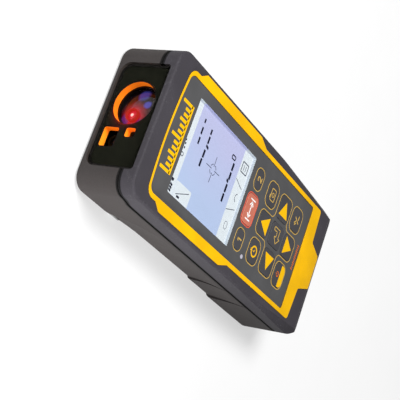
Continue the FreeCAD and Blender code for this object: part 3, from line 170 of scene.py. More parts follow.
def disc(x, y, radius, steps=36):
    """A whole circle's points, without the first one again at the end."""
    return arc(x, y, radius, 0, 360 * (steps - 1) / steps, steps)


def rounded(x, y, half_w, half_l, corner, steps=8):
    """A rounded rectangle, anticlockwise from its right side. Each point is a corner's centre + corner *
    (cos t, sin t), with t going once round and the centre moving on every quarter turn."""
    t = np.linspace(0, pi / 2, steps)[None, :] + np.arange(4)[:, None] * pi / 2
    way_x = np.array([1, -1, -1, 1])[:, None]
    way_y = np.array([1, 1, -1, -1])[:, None]
    px = x + way_x * (half_w - corner) + corner * np.cos(t)
    py = y + way_y * (half_l - corner) + corner * np.sin(t)
    return np.stack([px.ravel(), py.ravel()], 1)


def turned(points, x, y, angle):
    """Points turned by an angle in degrees about (x, y)."""
    a = radians(angle)
    points = np.asarray(points, float) - (x, y)
    return points @ np.array([[cos(a), sin(a)], [-sin(a), cos(a)]]) + (x, y)


def line(x0, y0, x1, y1):
    return np.array([(x0, y0), (x1, y1)])


def sides(corners, steps):
    """Points along a polygon's straight sides: corner * (1 - t) + next corner * t, with t in steps from 0."""
    corners = np.asarray(corners, float)[:, None]
    t = np.linspace(0, 1, steps, endpoint=False)[None, :, None]
    return (corners * (1 - t) + np.roll(corners, -1, 0) * t).reshape(-1, 2)


def helix(x, y, radius, ridge, pitch, low, high, steps=32):
    """A thread's ridge inside a bore: a three-sided profile carried along (radius cos t, radius sin t, pitch t / 2 pi),
    with its crest pointing inwards and its foot 0.84 of a pitch high."""
    turns = (high - low) / pitch
    t = np.linspace(0, 2 * pi * turns, int(steps * turns))[:, None]
    r = radius + np.array([0, 0, -ridge])[None, :]
    z = low + pitch * t / (2 * pi) + np.array([-0.42, 0.42, 0])[None, :] * pitch
    return capped(np.stack([x + r * np.cos(t), y + r * np.sin(t), z], 2))


def mirrored_down(surface, level):
    """A surface turned over about a level, for marks on the back: z becomes 2 * level - z, and its faces are turned."""
    points, quads, fans = inside_out(surface)
    return points * (1, 1, -1) + (0, 0, 2 * level), quads, fans


def piece(name, surfaces, body, slot, finish, smooth=False):
    """One object made of closed surfaces, riding on a body."""
    start, points, faces = 0, [], []
    for p, quads, fans in surfaces:
        points.append(p)
        faces += (quads + start).tolist() + (fans + start).tolist()
        start += len(p)
    mesh = bpy.data.meshes.new(name)
    mesh.from_pydata(np.concatenate(points) * MM, [], faces)
    mesh.update()
    mesh.polygons.foreach_set("use_smooth", np.full(len(mesh.polygons), smooth))
    if smooth:
        mesh.set_sharp_from_angle(angle=radians(35))
    mesh.materials.append(finish)
    made = bpy.data.objects.new(name, mesh)
    bpy.context.scene.collection.objects.link(made)
    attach(made, body)
    return made if slot else made


FLAT, SHARP = radians(0.6), radians(40)  # faces that meet at less than this are one face, at more make an edge


def softened(node, body, finish, width):
    """A copy of a CAD node that stands for it: equal points are merged, flat faces joined again, and a bevel takes the
    sharpness off its edges."""
    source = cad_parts[node].data
    points = np.zeros(len(source.vertices) * 3)
    source.vertices.foreach_get("co", points)
    corners = np.zeros(len(source.loops), int)
    source.loops.foreach_get("vertex_index", corners)
    points, same = np.unique(np.round(points.reshape(-1, 3), 7), axis=0, return_inverse=True)
    triangles = same.ravel()[corners].reshape(-1, 3)
    whole = (triangles != np.roll(triangles, 1, 1)).all(1)
    mesh = bpy.data.meshes.new(node + "_finished")
    mesh.from_pydata(points, [], triangles[whole].tolist())
    work = bmesh.new()
    work.from_mesh(mesh)
    bmesh.ops.dissolve_limit(work, angle_limit=FLAT, verts=work.verts, edges=work.edges)
    work.to_mesh(mesh)
    work.free()
    mesh.polygons.foreach_set("use_smooth", np.full(len(mesh.polygons), True))
    mesh.set_sharp_from_angle(angle=SHARP)
    mesh.materials.append(finish)
    made = bpy.data.objects.new(node + "_finished", mesh)
    bpy.context.scene.collection.objects.link(made)
    bevel = made.modifiers.new("edges", "BEVEL")
    bevel.width, bevel.segments = width * MM, 2
    bevel.limit_method, bevel.angle_limit = "ANGLE", SHARP
    bevel.use_clamp_overlap = True
    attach(made, body)
    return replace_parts(made, node)


# ---------------------------------------------------------------------------------------------
# Finishes
# ---------------------------------------------------------------------------------------------


class Field:
    """A quantity that varies over a surface. It wraps a node's output, and arithmetic on it adds Math nodes."""

    def __init__(self, finish, socket):
        self.finish, self.socket = finish, socket

    def math(self, operation, *values):
        return self.finish.node("ShaderNodeMath", {"operation": operation}, dict(enumerate(values)))

    def __add__(self, other):
        return self.math("ADD", self, other)

    def __sub__(self, other):
        return self.math("SUBTRACT", self, other)

    def __rsub__(self, other):
        return self.math("SUBTRACT", other, self)

    def __mul__(self, other):
        return self.math("MULTIPLY", self, other)

    def __truediv__(self, other):
        return self.math("DIVIDE", self, other)

    def __pow__(self, other):
        return self.math("POWER", self, other)

    def __abs__(self):
        return self.math("ABSOLUTE", self)

    __radd__, __rmul__ = __add__, __mul__

    def rise(self, low, high):
        """0 below low, 1 above high, with a smooth step between; falls instead where low is the greater."""
        settings = {"interpolation_type": "SMOOTHSTEP"}
        limits = {"Value": self, "From Min": low, "From Max": high, "To Min": 0.0, "To Max": 1.0}
        if low > high:
            limits |= {"From Min": high, "From Max": low, "To Min": 1.0, "To Max": 0.0}
        return self.finish.node("ShaderNodeMapRange", settings, limits)

    def least(self, other):
        return self.math("MINIMUM", self, other)

    def most(self, other):
        return self.math("MAXIMUM", self, other)


BAND = pi / 10  # the length of one band of a Wave node at scale 1


class Finish:
    """A material under construction."""

    def __init__(self, name):
        self.material = bpy.data.materials.new(name)
        self.material.use_nodes = True
        self.tree = self.material.node_tree
        self.tree.nodes.clear()
        self.where = self.node("ShaderNodeTexCoord", out="Object")

    def node(self, kind, settings=None, inputs=None, out=0):
        """Adds a node: its settings first, then the values or links of its sockets. Gives the chosen output, if any."""
        made = self.tree.nodes.new(kind)
        for key, value in (settings or {}).items():
            setattr(made, key, value)
        for key, value in (inputs or {}).items():
            if isinstance(value, Field):
                self.tree.links.new(value.socket, made.inputs[key])
            else:
                made.inputs[key].default_value = value
        return Field(self, made.outputs[out]) if made.outputs else None

    def noise(self, size, detail=2.0, squeeze=(1, 1, 1), rough=0.55):
        """Noise with features of about the given size in millimetres, divided by the squeeze along each axis."""
        at = self.node("ShaderNodeMapping", None, {"Vector": self.where, "Scale": squeeze})
        values = {"Vector": at, "Scale": 1 / (size * MM), "Detail": detail, "Roughness": rough}
        return self.node("ShaderNodeTexNoise", None, values)

    def axis(self, which):
        """The place's x, y or z (0, 1 or 2), in millimetres."""
        return self.node("ShaderNodeSeparateXYZ", None, {0: self.where}, which) * (1 / MM)

    def away(self, x, z):
        """The distance in millimetres from the line along y through (x, z)."""
        return ((self.axis(0) - x) ** 2.0 + (self.axis(2) - z) ** 2.0) ** 0.5

    def stripes(self, pitch):
        """Bands of a sine wave across x, with the given pitch in millimetres."""
        values = {"Vector": self.where, "Scale": BAND / (pitch * MM)}
        return self.node("ShaderNodeTexWave", {"bands_direction": "X", "wave_profile": "SIN"}, values)

    def mix(self, factor, first, second):
        values = {0: factor, 6: first, 7: second}
        return self.node("ShaderNodeMix", {"data_type": "RGBA"}, values, 2)

    def bump(self, height, depth):
        """A normal from a height of 0 to 1 that stands for a depth in millimetres."""
        return self.node("ShaderNodeBump", None, {"Strength": 1.0, "Distance": depth * MM, "Height": height})

    def shader(self, values):
        """A Principled shader with these values."""
        return self.node("ShaderNodeBsdfPrincipled", None, values)

    def done(self, shader):
        """The material whose surface is this shader."""
        self.node("ShaderNodeOutputMaterial", None, {"Surface": shader})
        return self.material

    def plain(self, values):
        """The material whose surface is one Principled shader with these values."""
        return self.done(self.shader(values))


def tone(red, green, blue, share=1.0):
    return (red * share, green * share, blue * share, 1.0)


def moulded(name, colour, rough, grain, depth, scuffs=0.1, sheen=0.22, dust=(0.3, 0.29, 0.28), painted_shade=0.0):
    """Moulded plastic: spark-eroded grain of a size and depth, slow changes of tint and gloss, and specks rubbed to
    the dust's colour. The last argument is the share of painted shade, a dark brown, on the faces that don't look up,
    standing for the shade in the gap beside a raised part."""
    f = Finish(name)
    cloud = f.noise(16, 3)
    fine = f.noise(grain, 3)
    rubbed = f.noise(0.7, 4, rough=0.7).rise(0.6, 0.75) * f.noise(8, 2).rise(0.5, 0.68)
    tint = f.mix(cloud.rise(0.3, 0.7), tone(*colour, 0.9), tone(*colour, 1.1))
    tint = f.mix(fine.rise(0.35, 0.7) * 0.22, tint, tone(*colour, 1.5))
    tint = f.mix(rubbed * scuffs, tint, (*dust, 1.0))
    # painted shade: faces that don't look up are darkened, standing for the shade in the gap round a raised part
    if painted_shade:
        facing = f.node("ShaderNodeNewGeometry", out="Normal")
        upward = f.node("ShaderNodeSeparateXYZ", None, {0: facing}, 2)
        tint = f.mix(upward.rise(0.9, 0.5) * painted_shade, tint, (0.05, 0.022, 0.006, 1.0))
    gloss = rough + (cloud - 0.5) * 0.16 + (fine - 0.5) * 0.1 + rubbed * 0.12
    return f.plain({
        "Base Color": tint,
        "Roughness": gloss,
        "Specular IOR Level": sheen,
        "Normal": f.bump(fine, depth),
    })


SIDE_X, FRONT_Y = edges_of("upper_shell")[1][:2]
SEAM_H = 0.8
seal_low, seal_high = edges_of("shell_gasket")
SEAM_Z = seal_low[2] + SEAM_H / 2  # the seam's middle along the sides
SEAM_RISE = seal_high[2] - seal_low[2] - SEAM_H
SEAM_RAMP = FRONT_Y - 16.0, FRONT_Y - 5.0  # where it rises
WEAR_TOP = 24.5  # above this level the shell's edges are rubbed


def shell(name, colour, rough):
    """The housing's rubbery overmould: eroded grain, a little pale wear where the long edges get handled, and painted
    shade, near black, along the seam. The seam's height is level, then a cubic step up towards the front."""
    f = Finish(name)
    y, z = f.axis(1), f.axis(2)
    cloud = f.noise(22, 3)
    fine = f.noise(0.2, 3)
    pores = f.noise(0.55, 2)
    long_edge = abs(f.axis(0)).rise(SIDE_X - 2.8, SIDE_X - 0.1) * z.rise(WEAR_TOP - 4, WEAR_TOP)
    end_edge = abs(y).rise(FRONT_Y - 3, FRONT_Y - 0.1) * z.rise(WEAR_TOP - 5, WEAR_TOP - 0.5)
    handled = (long_edge + end_edge).least(1.0) * 0.5 + f.noise(11, 2).rise(0.52, 0.7) * 0.4
    rubbed = f.noise(0.9, 4, rough=0.7).rise(0.52, 0.72) * handled
    tint = f.mix(cloud.rise(0.3, 0.7), tone(*colour, 0.92), tone(*colour, 1.08))
    tint = f.mix(pores.rise(0.4, 0.7) * 0.25, tint, tone(*colour, 0.72))
    tint = f.mix(rubbed * 0.25, tint, (0.25, 0.25, 0.26, 1.0))
    along = y.rise(*SEAM_RAMP)
    seam = SEAM_Z + along * along * (3.0 - 2.0 * along) * SEAM_RISE
    # painted shade: the shell is darkened to near black within about a millimetre of the seam, standing for the seam's
    # shadow
    painted_shade = abs(z - seam).rise(1.25, 0.8) * (pores * 0.3 + 0.75).least(1.0)
    tint = f.mix(painted_shade, tint, (0.004, 0.004, 0.004, 1.0))
    gloss = rough + (cloud - 0.5) * 0.14 + (fine - 0.5) * 0.12 - rubbed * 0.08
    height = fine * 0.6 + pores * 0.4
    return f.plain({
        "Base Color": tint,
        "Roughness": gloss,
        "Specular IOR Level": 0.08,
        "Normal": f.bump(height, 0.02),
    })


def brushed(name, colour, rough, lay=(1, 12, 1), tarnish=0.3):
    """Metal with fine drawn lines along one axis and soft tarnish."""
    f = Finish(name)
    lines = f.noise(0.6, 3, lay)
    cloud = f.noise(5, 3)
    tint = f.mix(cloud.rise(0.35, 0.75) * tarnish, tone(*colour), tone(*colour, 0.55))
    gloss = rough + (lines - 0.5) * 0.25 + (cloud - 0.5) * 0.12
    return f.plain({
        "Base Color": tint,
        "Roughness": gloss,
        "Metallic": 1.0,
        "Normal": f.bump(lines, 0.004),
    })


def printed(name, colour, rough=0.5, glow=0.0):
    """Printing ink: slightly uneven cover, a faint orange-peel surface."""
    f = Finish(name)
    cover = f.noise(0.35, 3)
    cloud = f.noise(4, 2)
    tint = f.mix(cover.rise(0.3, 0.7) * 0.6 + cloud * 0.3, tone(*colour, 0.86), tone(*colour))
    values = {
        "Base Color": tint,
        "Roughness": rough + (cover - 0.5) * 0.15,
        "Specular IOR Level": 0.14,
        "Normal": f.bump(cover, 0.003),
    }
    if glow:
        values |= {"Emission Color": tint, "Emission Strength": glow}
    return f.done(f.shader(values))


TRACK_PITCH = 2.4


def board(name):
    """A circuit board: green mask with paler tracks under it and small tinned vias."""
    f = Finish(name)
    values = {"Vector": f.where, "Scale": 1 / (TRACK_PITCH * MM), "Randomness": 0.55}
    cell = f.node("ShaderNodeTexVoronoi", {"feature": "DISTANCE_TO_EDGE"}, values)
    tracks = cell.rise(0.09, 0.05)
    dots = f.node("ShaderNodeTexVoronoi", {"feature": "F1"}, values)
    via = dots.rise(0.14, 0.1)
    weave = f.noise(0.5, 2, (1, 0.15, 1))
    tint = f.mix(weave * 0.4, (0.008, 0.07, 0.025, 1), (0.014, 0.11, 0.04, 1))
    tint = f.mix(tracks * 0.6, tint, (0.03, 0.2, 0.07, 1))
    tint = f.mix(via, tint, (0.62, 0.6, 0.55, 1))
    return f.plain({
        "Base Color": tint,
        "Roughness": 0.34 + weave * 0.1 + via * 0.1,
        "Metallic": via,
        "Normal": f.bump(tracks * 0.5 + via * 0.5, 0.02),
    })


COPPER_END, SLEEVE_END = -11.5, 23.8  # from the cell's middle


def cell_jacket(name, middle):
    """A dry cell's printed sleeve: a dark body, copper at its rear end, a pale rule in each part, and bare steel at
    both ends."""
    f = Finish(name)
    along = f.axis(1) - middle
    band = along.rise(COPPER_END - 0.1, COPPER_END + 0.1)
    rule = abs(along - (COPPER_END - 1.1)).rise(0.45, 0.35) + abs(along - 20.0).rise(0.45, 0.35)
    steel = abs(along).rise(SLEEVE_END - 0.1, SLEEVE_END + 0.1)
    fleck = f.noise(0.5, 3)
    cloud = f.noise(6, 2)
    tint = f.mix(band, (0.55, 0.24, 0.06, 1), (0.018, 0.02, 0.03, 1))
    tint = f.mix(rule, tint, (0.75, 0.75, 0.72, 1))
    tint = f.mix(steel, tint, (0.7, 0.7, 0.68, 1))
    return f.plain({
        "Base Color": f.mix(cloud * 0.25, tint, (0.1, 0.1, 0.1, 1)),
        "Roughness": 0.28 + fleck * 0.14,
        "Metallic": (1 - band).most(steel) * 0.8,
        "Normal": f.bump(f.noise(2.5, 3), 0.02),
    })


def chips(name):
    """Moulded chip packages: matt black with a fine grain, and no marks."""
    f = Finish(name)
    fine = f.noise(0.15, 3)
    cloud = f.noise(3, 2)
    return f.plain({
        "Base Color": f.mix(cloud, (0.012, 0.012, 0.013, 1), (0.028, 0.028, 0.03, 1)),
        "Roughness": 0.55 + (fine - 0.5) * 0.3,
        "Normal": f.bump(fine, 0.01),
    })


def pane(name, tint, dark, gloss):
    """Thin cover glass: clear with a tint, and a share of glossy dark skin that grows towards grazing."""
    f = Finish(name)
    smear = f.noise(6, 3, (1, 0.35, 1))
    facing = f.node("ShaderNodeLayerWeight", None, {"Blend": 0.5}, "Facing")
    clear = f.node("ShaderNodeBsdfTransparent", None, {"Color": (*tint, 1.0)})
    skin = f.shader({
        "Base Color": (dark, dark, dark, 1.0),
        "Roughness": 0.1 + smear.rise(0.45, 0.8) * 0.05,
        "Specular IOR Level": 1.0,
        "Normal": f.bump(smear, 0.004),
    })
    share = facing.rise(0.35, 1.0) ** 3.0 * 0.9 + (smear.rise(0.5, 0.8) * 0.2 + 0.9) * gloss
    return f.done(f.node("ShaderNodeMixShader", None, {0: share.least(1.0), 1: clear, 2: skin}))


def optic_plastic(name, colour, rough, rim_y=None, spill=0.0, own=0.0):
    """The plastic behind the front window, with the laser's red light spilled on it. Past rim_y it is blackened, and
    own is how much of its own bright colour it gives back as painted glow, standing for light that doesn't reach into
    the opening, yellower at the left."""
    f = Finish(name)
    fine = f.noise(1.4, 2)
    cloud = f.noise(6, 2)
    tint = f.mix(cloud.rise(0.3, 0.7), tone(*colour, 0.88), tone(*colour, 1.08))
    if own:
        tint = f.mix(f.axis(0).rise(-4.0, -9.0), tint, (1.0, 0.38, 0.02, 1.0))
    if rim_y is not None:
        tint = f.mix(f.axis(1).rise(rim_y - 0.06, rim_y), tint, (0.006, 0.006, 0.006, 1.0))
    # painted glow: the plastic's own colour is given back as light, which stands for light that doesn't reach it
    light = f.mix(own, (0.0, 0.0, 0.0, 1.0), tint)
    light = f.mix(f.away(*LASER).rise(11.0, 2.0) ** 2.4 * spill, light, (1.0, 0.03, 0.02, 1.0))
    return f.plain({
        "Base Color": tint,
        "Roughness": rough + (fine - 0.5) * 0.1,
        "Specular IOR Level": 0.06,
        "Emission Color": light,
        "Emission Strength": 1.0,
        "Normal": f.bump(fine, 0.004),
    })


def lens(name, colour, red_reach, glow, spot, glints=()):
    """Coated glass, nearly black, with round coloured reflections and the laser's red light spilled on it. Each glint
    has its place from the spot, its radius and its colour."""
    f = Finish(name)
    ripple = f.noise(2.2, 3)
    streak = f.noise(1.1, 2)
    halo = (f.away(*spot) + (ripple - 0.5) * 3.0).rise(red_reach, 0.8) ** 1.7
    light = f.mix(halo * (streak * 0.5 + 0.75), (0.0, 0.0, 0.0, 1.0), (0.8, 0.012, 0.04, 1.0))
    for right, up, radius, tint in glints:
        part = f.away(spot[0] + right, spot[1] + up) + (ripple - 0.5) * 1.6
        light = f.mix(part.rise(radius, radius * 0.45) * (streak * 0.4 + 0.6), light, (*tint, 1.0))
    return f.plain({
        "Base Color": f.mix(ripple, tone(*colour, 0.7), tone(*colour)),
        "Roughness": 0.05 + ripple * 0.06,
        "Specular IOR Level": 0.5,
        "Emission Color": light,
        "Emission Strength": glow,
        "Normal": f.bump(ripple, 0.008),
    })


def exit_spot(name, spot, reach, glow):
    """The laser's exit: a pale pink middle that turns red at its edge."""
    f = Finish(name)
    speckle = f.noise(0.25, 2)
    away = f.away(*spot) / reach + (speckle - 0.5) * 0.25
    light = f.mix(away.rise(0.42, 0.12), (0.36, 0.007, 0.02, 1.0), (1.0, 0.7, 0.68, 1.0))
    return f.plain({
        "Base Color": (0.3, 0.01, 0.01, 1.0),
        "Roughness": 0.3 + speckle * 0.1,
        "Emission Color": light,
        "Emission Strength": glow,
    })


def lit_panel(name, glow):
    """The liquid crystal's picture ground: bluish at the left, violet at the right, with the panel's fine columns."""
    f = Finish(name)
    cloud = f.noise(18, 2)
    side = f.axis(0) / 19 + (cloud - 0.5) * 0.7 + (f.axis(1) - 27) * -0.006
    columns = f.stripes(0.6711)
    tint = f.mix(side.rise(-0.9, 1.1), (0.55, 0.67, 0.9, 1), (0.62, 0.62, 0.87, 1))
    tint = f.mix(columns * 0.05, tint, (0.3, 0.34, 0.6, 1))
    return f.plain({
        "Base Color": f.mix(0.6, tint, (0.1, 0.1, 0.16, 1)),
        "Roughness": 0.3 + cloud * 0.05,
        "Emission Color": tint,
        "Emission Strength": glow,
    })


def lit_rim(name, glow, rear_band, front_band):
    """The cover glass's edge, which carries the picture's colours up to the plate: paler beside its two bands."""
    f = Finish(name)
    y = f.axis(1)
    fine = f.noise(0.6, 2)
    band = y.rise(rear_band, rear_band - 0.4).most(y.rise(front_band, front_band + 0.4))
    tint = f.mix(band, (0.42, 0.44, 0.68, 1), (0.52, 0.57, 0.6, 1))
    tint = f.mix(fine * 0.2, tint, (0.3, 0.32, 0.4, 1))
    return f.plain({
        "Base Color": tint,
        "Roughness": 0.4 + fine * 0.1,
        "Emission Color": tint,
        "Emission Strength": glow,
    })


def amber(name):
    """A flexible circuit: amber film with fine copper lines along it."""
    f = Finish(name)
    tracks = f.stripes(0.987).rise(0.45, 0.65)
    film = f.noise(1.5, 3)
    tint = f.mix(film, (0.35, 0.13, 0.02, 1), (0.5, 0.2, 0.03, 1))
    return f.plain({
        "Base Color": f.mix(tracks * 0.7, tint, (0.62, 0.3, 0.14, 1)),
        "Roughness": 0.3 + film * 0.15,
        "Normal": f.bump(tracks, 0.015),
    })


def paper(name):
    """Label film: off-white satin, faint fibres, its edge a little greyed."""
    f = Finish(name)
    fibre = f.noise(0.4, 4, (1, 0.2, 1))
    cloud = f.noise(7, 2)
    edge = abs(f.axis(0)).rise(15.6, 16.8)
    tint = f.mix(cloud * 0.5 + fibre * 0.2, (0.5, 0.5, 0.49, 1), (0.62, 0.62, 0.6, 1))
    return f.plain({
        "Base Color": f.mix(edge * 0.4, tint, (0.3, 0.3, 0.29, 1)),
        "Roughness": 0.42 + fibre * 0.15,
        "Normal": f.bump(fibre, 0.004),
    })


def milky(name, glow):
    """A light guide: milky, with a faint grain and a little light of its own."""
    f = Finish(name)
    grain = f.noise(0.3, 3)
    tint = f.mix(grain, (0.36, 0.35, 0.42, 1), (0.46, 0.45, 0.53, 1))
    return f.plain({
        "Base Color": tint,
        "Roughness": 0.35 + grain * 0.1,
        "Emission Color": tint,
        "Emission Strength": glow,
        "Normal": f.bump(grain, 0.006),
    })


def floor_finish(name, glow):
    """A pale sweep with some light of its own. Its underside is clear, so that the back can be looked at."""
    f = Finish(name)
    top = f.shader({
        "Base Color": f.mix(f.noise(40, 3), (0.37, 0.37, 0.37, 1), (0.4, 0.4, 0.4, 1)),
        "Roughness": 0.9,
        "Specular IOR Level": 0.1,
        "Emission Color": (1, 1, 1, 1),
        "Emission Strength": glow,
    })
    clear = f.node("ShaderNodeBsdfTransparent", None, {"Color": (1, 1, 1, 1)})
    back = f.node("ShaderNodeNewGeometry", out="Backfacing")
    return f.done(f.node("ShaderNodeMixShader", None, {0: back, 1: top, 2: clear}))


screen_low, screen_high = edges_of("display_window")
LASER = middle_of("collimator_lens")[[0, 2]].tolist()
CELL_MIDDLE = middle_of("battery_cell_left")[1]
LINER_RIM = edges_of("optics_liner")[1][1] - 0.05
BAND_REAR, BAND_FRONT = 7.5, 4.7  # lengths of the picture's two pale bands along the glass's edge
GLINTS = (
    (8.4, 1.6, 2.9, (0.05, 0.05, 0.36)),
    (4.9, 4.4, 1.9, (0.09, 0.09, 0.62)),
    (-1.6, -3.7, 2.6, (0.16, 0.03, 0.26)),
    (-2.6, 3.3, 2.0, (0.14, 0.02, 0.2)),
)

rubber = moulded("keypad_rubber", (0.048, 0.047, 0.052), 0.6, 0.16, 0.008, scuffs=0.15)
red_rubber = moulded("red_rubber", (0.46, 0.135, 0.088), 0.5, 0.2, 0.008, scuffs=0.12, sheen=0.3, dust=(0.8, 0.4, 0.35))
plate_film = moulded("plate_film", (0.068, 0.068, 0.07), 0.5, 0.13, 0.006, scuffs=0.12)
# the bezel's sides carry painted shade for the shaded gap between the bezel and the deck
bezel_plastic = moulded(
    "bezel_plastic", (0.74, 0.4, 0.0), 0.42, 0.3, 0.008, sheen=0.14, dust=(0.6, 0.4, 0.08), painted_shade=0.85
)
inner_plastic = moulded("inner_plastic", (0.03, 0.03, 0.032), 0.55, 0.3, 0.01)
rubber_black = moulded("rubber_black", (0.008, 0.008, 0.008), 0.7, 0.3, 0.01)
door_finish = moulded("door_plastic", (0.052, 0.048, 0.046), 0.55, 0.25, 0.014, scuffs=0.25)
bracket_finish = moulded("bracket_plastic", (0.05, 0.05, 0.053), 0.5, 0.3, 0.01, scuffs=0.4)

ink_yellow = printed("ink_yellow", (0.85, 0.47, 0.0), 0.45)
ink_gold = printed("ink_gold", (0.56, 0.36, 0.08), 0.45)
ink_orange = printed("ink_orange", (0.75, 0.15, 0.0), 0.45)
ink_red = printed("ink_red", (0.8, 0.1, 0.05), 0.45)
ink_pale = printed("ink_pale", (0.85, 0.82, 0.8), 0.5)
ink_grey = printed("ink_grey", (0.09, 0.09, 0.1), 0.55)
picture_dark = printed("picture_dark", (0.006, 0.008, 0.03), 0.6)
picture_grey = printed("picture_grey", (0.02, 0.025, 0.07), 0.6)
picture_pale = printed("picture_pale", (0.56, 0.59, 0.6), 0.6, glow=0.84)
lit_edge = lit_rim("lit_edge", 0.55, screen_low[1] + BAND_REAR, screen_high[1] - BAND_FRONT)

steel = brushed("screw_steel", (0.5, 0.5, 0.5), 0.32)
brass = brushed("insert_brass", (0.78, 0.55, 0.22), 0.3, lay=(1, 1, 8))
spring_steel = brushed("spring_steel", (0.66, 0.65, 0.6), 0.26, lay=(10, 1, 1))
cast_metal = brushed("bench_metal", (0.035, 0.034, 0.036), 0.5, lay=(1, 1, 1), tarnish=0.5)
chip_finish = chips("chip_black")
amber_film = amber("flex_amber")
guide = milky("light_guide", 0.02)
mask_finish = optic_plastic("mask_black", (0.011, 0.013, 0.009), 0.85, spill=0.14)
# the orange liner gives back a painted glow of its own colour
liner_finish = optic_plastic("liner_orange", (1.0, 0.25, 0.012), 0.5, LINER_RIM, spill=0.3, own=0.35)
barrel_finish = optic_plastic("barrel_black", (0.03, 0.01, 0.008), 0.5, spill=0.5)
receiver_glass = lens("receiver_glass", (0.008, 0.006, 0.012), 8.5, 0.8, LASER, GLINTS)
lens_glass = lens("lens_glass", (0.01, 0.02, 0.05), 3.0, 0.0, LASER)

FINISHES = {
    "upper_shell": shell("shell_upper", (0.05, 0.046, 0.054), 0.6),
    "lower_shell": shell("shell_lower", (0.053, 0.047, 0.046), 0.62),
    "face_plate": plate_film,
    "display_window": pane("display_glass", (0.93, 0.94, 0.95), 0.02, 0.045),
    "display_panel": lit_panel("display_cell", 0.61),
    "display_flex": amber_film,
    "main_board": board("board_green"),
    "optics_board": board("optics_board_green"),
    "battery_cell_left": cell_jacket("cell_jacket", CELL_MIDDLE),
    "battery_cell_right": cell_jacket("cell_jacket_right", CELL_MIDDLE),
    "battery_door": door_finish,
    "end_bracket": bracket_finish,
    "front_window": pane("window_glass", (0.96, 0.94, 0.92), 0.01, 0.0),
    "optics_liner": liner_finish,
    "receiver_lens": receiver_glass,
    "collimator_lens": exit_spot("laser_exit", LASER, 2.0, 1.2),
    "laser_barrel": barrel_finish,
    "optical_bench": cast_metal,
    "tripod_insert": brass,
    "rating_label": paper("label_paper"),
    "key_dist": red_rubber,
}
for finish, names in (
    (rubber_black, "shell_gasket door_seal window_seal"),
    (steel, "housing_screws board_screws bench_screws bracket_pin strap_pin"),
    (inner_plastic, "display_holder keypad_carrier flex_socket"),
    (spring_steel, "snap_domes radio_module contact_plates contact_springs detent_spring laser_diode photo_detector"),
    (guide, "status_light status_lamp"),
    (chip_finish, "board_chips tilt_sensor buzzer"),
    (mask_finish, "optics_mask camera_module"),
    (lens_glass, "camera_lens ambient_sensor"),
):
    FINISHES |= dict.fromkeys(names.split(), finish)
for name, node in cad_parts.items():
    node.data.materials.clear()
    node.data.materials.append(FINISHES.get(name, rubber if name.startswith("key_") else inner_plastic))

# ---------------------------------------------------------------------------------------------
# Bezel
# ---------------------------------------------------------------------------------------------

softened("bezel_frame", "housing", bezel_plastic, 0.22)

# ---------------------------------------------------------------------------------------------
# Printing on the plate
# ---------------------------------------------------------------------------------------------

INK = (PLATE_TOP, PLATE_TOP + 0.04)  # the printing's lowest and highest level
RIM, RIM_GAP = 0.36, 0.28  # width of the line round a key, and its distance from the cap
RIM_OUT = RIM_GAP + RIM / 2


def rim(key):
    """The line round a key's opening."""
    x, y, w, l = cap_of(key)
    return loop(rounded(x, y, w + RIM_OUT, l + RIM_OUT, KEY_CORNER[key] + RIM_OUT), RIM, *INK)


def open_rim(key, angle):
    """The line round the outer three sides of an arrow key: the front half of a rounded rectangle, with two legs that
    turn outwards at their ends, all turned to face the key's way."""
    x, y, w, l = cap_of(key)
    if angle % 180:
        w, l = l, w
    whole = rounded(x, y, w + RIM_OUT, l + RIM_OUT, KEY_CORNER[key] + RIM_OUT)
    half = whole[: len(whole) // 2]
    side, foot = x + w + RIM_OUT, y - l + 0.6
    right = [(side + 1.0, foot - 1.3), (side + 0.25, foot - 0.5), (side, foot + 0.6)]
    left = [(2 * x - px, py) for px, py in reversed(right)]
    return stroke(turned(np.concatenate([right, half, left]), x, y, angle), RIM, *INK)


ARROWS = {"key_up": 90, "key_left": 180, "key_down": 270, "key_right": 0}  # where each arrow key points, in degrees
rims = [rim(key) for key in ("key_f1", "key_f2", "key_timer", "key_camera", "key_clear", "key_plus")]
rims += [open_rim(key, angle - 90) for key, angle in ARROWS.items()]
piece("key_rims", rims, "housing", "bezel_yellow", ink_gold)
piece("measure_rim", [rim("key_dist")], "housing", None, ink_red)


def bar(x, y, half_w, half_l, low, high, slant=0.0):
    """A small upright block with slightly rounded corners, leaning by slant across its length."""
    shape = rounded(x, y, half_w, half_l, min(half_w, half_l) * 0.35, 3)
    shape[:, 0] += (shape[:, 1] - y) * slant
    return figure(shape, low, high)


plate_rear, plate_front = edges_of("face_plate")[0][1], edges_of("face_plate")[1][1]
RULE_Y, RULE_END = plate_front - 9.0, 13.2
TICKS = (6.8, 3.9, 3.9, 5.2, 3.9, 3.9)  # lengths of the rule's ticks, over and over
TICK_HALF = 0.62  # half a tick's width
rule = []
for i, x in enumerate(np.linspace(-RULE_END, RULE_END, 13)):
    length = TICKS[i % len(TICKS)]
    rule.append(bar(x, RULE_Y + 0.1 + length / 2, TICK_HALF, length / 2, *INK))
rule.append(bar(0, RULE_Y, RULE_END + TICK_HALF, 0.7, *INK))
piece("front_rule", rule, "housing", "bezel_yellow", ink_yellow)

ticks = [
    bar(x, plate_rear + 1.75, 0.2, 0.62 if i % 3 else 0.85, *INK, 0.2)
    for i, x in enumerate(np.linspace(-6, 4.5, 13))
]
piece("rear_ticks", ticks, "housing", None, ink_orange)

# ---------------------------------------------------------------------------------------------
# Marks on the keys
# ---------------------------------------------------------------------------------------------

MARK = (KEY_TOP - 0.05, KEY_TOP + 0.035)  # the marks' lowest and highest level


def mark(key, finish, slot, surfaces):
    """A key's mark, which goes down with the key."""
    return piece(key + "_mark", surfaces, key, slot, finish)


def lines_on(width, *paths):
    """Lines of one width on a key."""
    return [stroke(path, width, *MARK) for path in paths]


